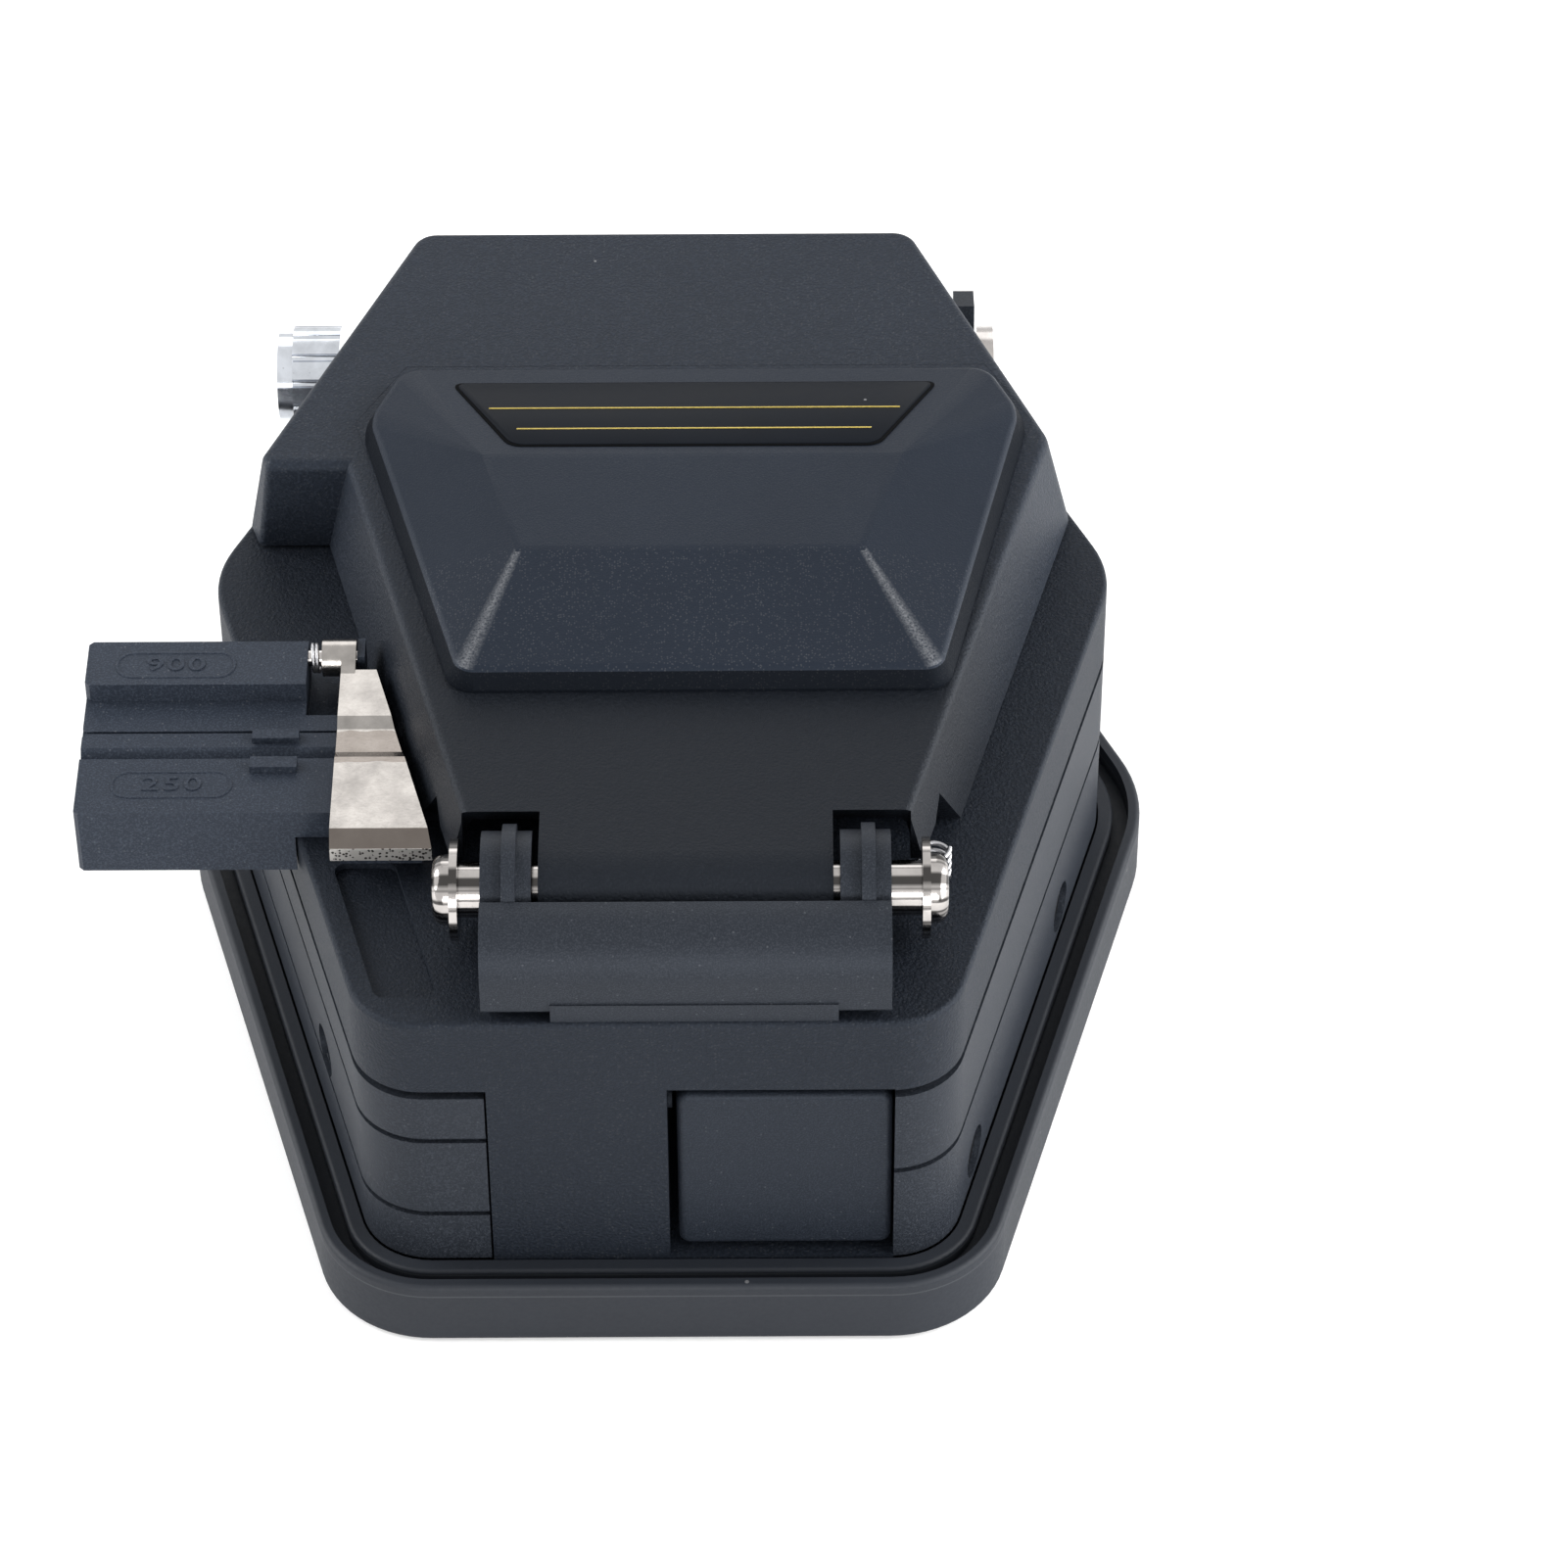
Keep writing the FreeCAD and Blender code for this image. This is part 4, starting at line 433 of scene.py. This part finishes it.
def six_sided(corners, height):
    """Flat face with six given corners, left in edit mode with all of it selected."""
    bpy.ops.object.select_all(action="DESELECT")
    bpy.ops.mesh.primitive_circle_add(vertices=6, radius=30.0 * MM, fill_type="NGON",
                                      location=(3.0 * MM, 4.0 * MM, height * MM))
    piece = bpy.context.object
    bpy.ops.object.transform_apply(location=True, rotation=True, scale=True)

    def turn(x, y):
        return math.atan2(y - 4.0 * MM, x - 3.0 * MM) % math.tau

    starts = sorted((vertex.co.copy() for vertex in piece.data.vertices),
                    key=lambda spot: turn(spot.x, spot.y))
    ends = sorted(((x * MM, y * MM) for x, y in corners), key=lambda spot: turn(*spot))
    for start, end in zip(starts, ends):
        choose(piece, "VERT", lambda spot: (spot - start).length < 0.01 * MM)
        bpy.ops.transform.translate(value=(end[0] - start.x, end[1] - start.y, 0.0))
    bpy.ops.mesh.select_all(action="SELECT")
    return piece


def seat_plate(finish):
    """Flange of the cap, which fills its seat and lies level with the lid around it."""
    piece = six_sided(CAP_FLANGE, CAP_SEAT - 0.96)
    bpy.ops.mesh.extrude_region_move(TRANSFORM_OT_translate={"value": (0.0, 0.0, 0.93 * MM)})
    bpy.ops.mesh.inset(thickness=0.03 * MM)
    bpy.ops.transform.translate(value=(0.0, 0.0, 0.03 * MM))
    settle(piece, "cap_flange", (0.0, 0.0, 0.0), 0.0, finish, "lid")


def cap_shell(finish, skirt_shade_finish):
    """Cap on the lid: flared foot with round corners, soft shoulder, planes rising to a flat crown."""
    piece = six_sided(CAP_FOOT, CAP_SEAT)
    bpy.ops.mesh.bevel(offset=2.0 * MM, segments=8, affect="VERTICES")
    choose(piece, "FACE", lambda spot, normal: True)
    bpy.ops.mesh.extrude_region_move(TRANSFORM_OT_translate={"value": (0.0, 0.0, 0.3 * MM)})
    bpy.ops.mesh.inset(thickness=0.95 * MM)
    bpy.ops.transform.translate(value=(0.0, 0.0, (CAP_SHOULDER - CAP_SEAT - 0.3) * MM))
    bpy.ops.mesh.inset(thickness=0.6 * MM)
    bpy.ops.transform.translate(value=(0.0, 0.0, 1.0 * MM))
    # the inner ring closes on the four corners of the crown
    raised = (CAP_SHOULDER + 0.5) * MM
    regions = (lambda x, y: x < 0.0 and y > 0.0, lambda x, y: x < 0.0 and y < 0.0,
               lambda x, y: x > 0.0 and y < 0.0, lambda x, y: x > 0.0 and y > 0.0)
    for region, (x, y) in zip(regions, CAP_CROWN):
        choose(piece, "VERT", lambda spot: spot.z > raised and region(spot.x, spot.y))
        bpy.ops.mesh.merge(type="CENTER")
        bpy.ops.object.mode_set(mode="OBJECT")
        spot = next(vertex.co for vertex in piece.data.vertices if vertex.select)
        bpy.ops.object.mode_set(mode="EDIT")
        bpy.ops.transform.translate(value=Vector((x, y, CAP_TOP)) * MM - spot)
    shoulder = CAP_SHOULDER * MM
    choose(piece, "EDGE", lambda a, b: abs(a.z - shoulder) + abs(b.z - shoulder) < 0.02 * MM)
    bpy.ops.mesh.bevel(offset=0.42 * MM, segments=3, affect="EDGES")
    choose(piece, "EDGE", lambda a, b: min(a.z, b.z) > (CAP_TOP - 0.01) * MM)
    bpy.ops.mesh.bevel(offset=0.3 * MM, segments=2, affect="EDGES")
    settle(piece, "cap_shell", (0.0, 0.0, 0.0), 0.0, finish, "lid")
    # the faces below the shoulder take the second finish, a far darker and duller plastic: painted shade on
    # the skirt
    piece.data.materials.append(skirt_shade_finish)
    for face in piece.data.polygons:
        if face.area > 20.0 * MM * MM:
            face.use_smooth = False
        if face.center.z < (CAP_SHOULDER - 0.35) * MM:
            face.material_index = 1
    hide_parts("lid_cap")


CAP_SHOULDER_REAR = 24.6
CAP_FACET_MID = 17.5
CAP_REAR_RUN = CAP_SHOULDER_REAR - CAP_CROWN[0][1]
CAP_LEAN = -math.atan2(CAP_TOP - CAP_SHOULDER, CAP_REAR_RUN)
CAP_FACET_DROP = (CAP_TOP - CAP_SHOULDER) * (CAP_FACET_MID - CAP_CROWN[0][1]) / CAP_REAR_RUN
FACET = Vector((3.1, CAP_FACET_MID, CAP_TOP - CAP_FACET_DROP)) * MM


def on_facet(x, along, rise):
    """Point over the cap's rear facet: along runs in the facet's plane, down towards the rear."""
    return FACET + Vector((x, along * math.cos(CAP_LEAN), along * math.sin(CAP_LEAN))) + Vector(
        (0.0, -math.sin(CAP_LEAN), math.cos(CAP_LEAN))) * rise


def label_plate(name, width, depth, taper, rise, finish):
    """Thin plate that narrows towards the front, with round corners and a softened rim."""
    piece = slab(width, depth, 0.24 * MM)
    choose(piece, "VERT", lambda spot: spot.y < 0.0)
    bpy.ops.transform.resize(value=(taper, 1.0, 1.0))
    choose(piece, "EDGE", lambda a, b: abs(a.z - b.z) > 0.1 * MM)
    bpy.ops.mesh.bevel(offset=1.1 * MM, segments=5, affect="EDGES")
    choose(piece, "FACE", lambda spot, normal: normal.z > 0.9)
    bpy.ops.mesh.inset(thickness=0.05 * MM, depth=0.03 * MM)
    settle(piece, name, on_facet(0.0, -1.45 * MM, rise), CAP_LEAN, finish, "lid")


def label_rule(name, half, along, finish):
    """Thin gold line across the label, its ends a little narrower."""
    piece = slab(half * 2.0, 0.17 * MM, 0.07 * MM)
    choose(piece, "EDGE", lambda a, b: abs(a.z - b.z) > 0.02 * MM)
    bpy.ops.mesh.bevel(offset=0.07 * MM, segments=3, affect="EDGES")
    choose(piece, "FACE", lambda spot, normal: normal.z > 0.9)
    bpy.ops.mesh.inset(thickness=0.015 * MM, depth=0.008 * MM)
    settle(piece, name, on_facet(0.0, along, 0.19 * MM), CAP_LEAN, finish, "lid")


def raised_frame(name, width, depth, spot, finish):
    """Low rounded rim around a number on the fibre holder."""
    piece = slab(width, depth, 0.5 * MM)
    choose(piece, "EDGE", lambda a, b: abs(a.z - b.z) > 0.1 * MM)
    bpy.ops.mesh.bevel(offset=depth * 0.46, segments=8, affect="EDGES")
    choose(piece, "FACE", lambda centre, normal: normal.z > 0.9)
    bpy.ops.mesh.inset(thickness=0.26 * MM, depth=0.0)
    bpy.ops.mesh.inset(thickness=0.05 * MM, depth=-0.4 * MM)
    choose(piece, "EDGE", lambda a, b: min(a.z, b.z) > 0.24 * MM)
    bpy.ops.mesh.bevel(offset=0.05 * MM, segments=2, affect="EDGES")
    settle(piece, name, spot, 0.0, finish, "base")


def raised_number(name, digits, size, spot, finish):
    """Plain raised digits with softened edges."""
    bpy.ops.object.select_all(action="DESELECT")
    bpy.ops.object.text_add(location=(0.0, 0.0, 0.0))
    piece = bpy.context.object
    text = piece.data
    text.body = digits
    text.size = size
    text.space_character = 1.12
    text.align_x = "CENTER"
    text.align_y = "CENTER"
    text.extrude = 0.07 * MM
    text.bevel_depth = 0.02 * MM
    text.bevel_resolution = 1
    bpy.ops.object.convert(target="MESH")
    piece = bpy.context.object
    piece.scale = (1.25, 0.92, 1.0)
    bpy.ops.object.transform_apply(location=False, rotation=False, scale=True)
    settle(piece, name, spot, 0.0, finish, "base")


# the second plastic, for the cap's skirt, is far darker and duller: painted shade
cap_shell(FINISHES["cap_black"], cap_plastic("cap_foot_painted_shade", 0.0035, 0.06, 0.6))
seat_plate(FINISHES["lid_black"])
film = label_film()
ink = gold_print()
# a near-black plate just under the label shows as its rim: painted shadow of the gap
label_plate("label_gap_painted_shadow", 45.6 * MM, 11.6 * MM, 0.745, -0.05 * MM, painted_gap_shadow())
label_plate("label_panel", 44.9 * MM, 11.2 * MM, 0.745, 0.03 * MM, film)
label_rule("label_rule_rear", 19.1 * MM, -0.55 * MM, ink)
label_rule("label_rule_front", 16.4 * MM, -4.3 * MM, ink)

HOLDER_TOP = 39.2 * MM
SHELF_TOP = 41.2 * MM
moulded = FINISHES["holder_black"]
raised_frame("frame_900", 10.9 * MM, 3.5 * MM, (-43.9 * MM, -8.45 * MM, SHELF_TOP - 0.17 * MM), moulded)
raised_number("number_900", "900", 2.7 * MM, (-43.9 * MM, -8.45 * MM, SHELF_TOP + 0.02 * MM), moulded)
raised_frame("frame_250", 10.9 * MM, 3.5 * MM, (-43.5 * MM, -22.15 * MM, HOLDER_TOP - 0.17 * MM), moulded)
raised_number("number_250", "250", 2.7 * MM, (-43.5 * MM, -22.15 * MM, HOLDER_TOP + 0.02 * MM), moulded)


# --- stage --------------------------------------------------------------------------

def look_matrix(spot, yaw, pitch, roll):
    """Camera matrix from a heading left of +Y, a tilt below level and a roll, in degrees."""
    heading, tilt, lean = math.radians(yaw), math.radians(pitch), math.radians(roll)
    ahead = Vector((-math.sin(heading) * math.cos(tilt), math.cos(heading) * math.cos(tilt), -math.sin(tilt)))
    side = Vector((math.cos(heading), math.sin(heading), 0.0))
    above = side.cross(ahead)
    side, above = (side * math.cos(lean) + above * math.sin(lean),
                   above * math.cos(lean) - side * math.sin(lean))
    columns = [side, above, -ahead]
    turn = Matrix([[column[row] for column in columns] for row in range(3)]).to_4x4()
    return Matrix.Translation(spot) @ turn


IMAGE_WIDTH = 1601.0
FOCAL_LENGTH = 5970.0  # in the same units as the image's width


def stage():
    bpy.ops.object.select_all(action="DESELECT")
    camera = bpy.data.objects.new("camera", bpy.data.cameras.new("camera"))
    bpy.context.collection.objects.link(camera)
    camera.matrix_world = look_matrix(Vector((10.15, -401.92, 397.67)) * MM, -0.16, 43.37, -0.17)
    camera.data.sensor_width = 36.0
    camera.data.lens = camera.data.sensor_width * FOCAL_LENGTH / IMAGE_WIDTH
    camera.data.clip_start = 0.01
    bpy.context.scene.camera = camera

    world = bpy.data.worlds.new("studio")
    bpy.context.scene.world = world
    world.use_nodes = True
    tree = world.node_tree
    light = tree.nodes["Background"]
    light.inputs["Color"].default_value = (1.0, 1.0, 1.0, 1.0)
    light.inputs["Strength"].default_value = 0.40
    seen = tree.nodes.new("ShaderNodeBackground")
    seen.inputs["Strength"].default_value = 1.0
    seen.inputs["Color"].default_value = (1.0, 1.0, 1.0, 1.0)
    rays = tree.nodes.new("ShaderNodeLightPath")
    pick = tree.nodes.new("ShaderNodeMixShader")
    straight = rays.outputs["Is Camera Ray"]
    for kind in ("Is Glossy Ray", "Is Transmission Ray"):
        either = tree.nodes.new("ShaderNodeMath")
        either.operation = "MAXIMUM"
        tree.links.new(straight, either.inputs[0])
        tree.links.new(rays.outputs[kind], either.inputs[1])
        straight = either.outputs[0]
    tree.links.new(straight, pick.inputs[0])
    tree.links.new(light.outputs[0], pick.inputs[1])
    tree.links.new(seen.outputs[0], pick.inputs[2])
    tree.links.new(pick.outputs[0], tree.nodes["World Output"].inputs["Surface"])

    bpy.ops.mesh.primitive_plane_add(size=6.0, location=(0.0, 0.0, -0.0002))
    floor = bpy.context.object
    floor.name = "floor"
    paint = Paint("floor_paper")
    glow = paint.node("ShaderNodeEmission", None, {"Color": (1.0, 1.0, 1.0, 1.0), "Strength": 0.30})
    plain = paint.node("ShaderNodeBsdfDiffuse", None, {"Color": (0.80, 0.80, 0.80, 1.0)})
    both = paint.node("ShaderNodeAddShader", None, [plain, glow])
    rays = paint.node("ShaderNodeLightPath", out="Is Camera Ray")
    for kind in ("Is Glossy Ray", "Is Transmission Ray"):
        rays = rays.math("MAXIMUM", paint.node("ShaderNodeLightPath", out=kind))
    pick = paint.node("ShaderNodeMixShader", None, [rays, plain, both])
    paint.tree.links.new(pick.socket, paint.output.inputs["Surface"])
    floor.data.materials.append(paint.material)

    for name, spot, size, power in (("lamp_left", (-0.62, 0.05, 0.34), 0.6, 5.8),
                                    ("lamp_right", (0.82, -0.11, 0.16), 1.3, 27.0),
                                    ("lamp_front", (0.05, -0.90, 0.14), 0.5, 4.8),
                                    ("lamp_rear", (-0.05, 0.40, 0.30), 0.3, 0.3)):
        data = bpy.data.lights.new(name, "AREA")
        data.shape = "DISK"
        data.size = size
        data.energy = power
        lamp = bpy.data.objects.new(name, data)
        bpy.context.collection.objects.link(lamp)
        lamp.location = spot
        lamp.rotation_euler = (-Vector(spot)).to_track_quat("-Z", "Y").to_euler()
    bpy.context.scene.view_settings.view_transform = "Standard"


stage()
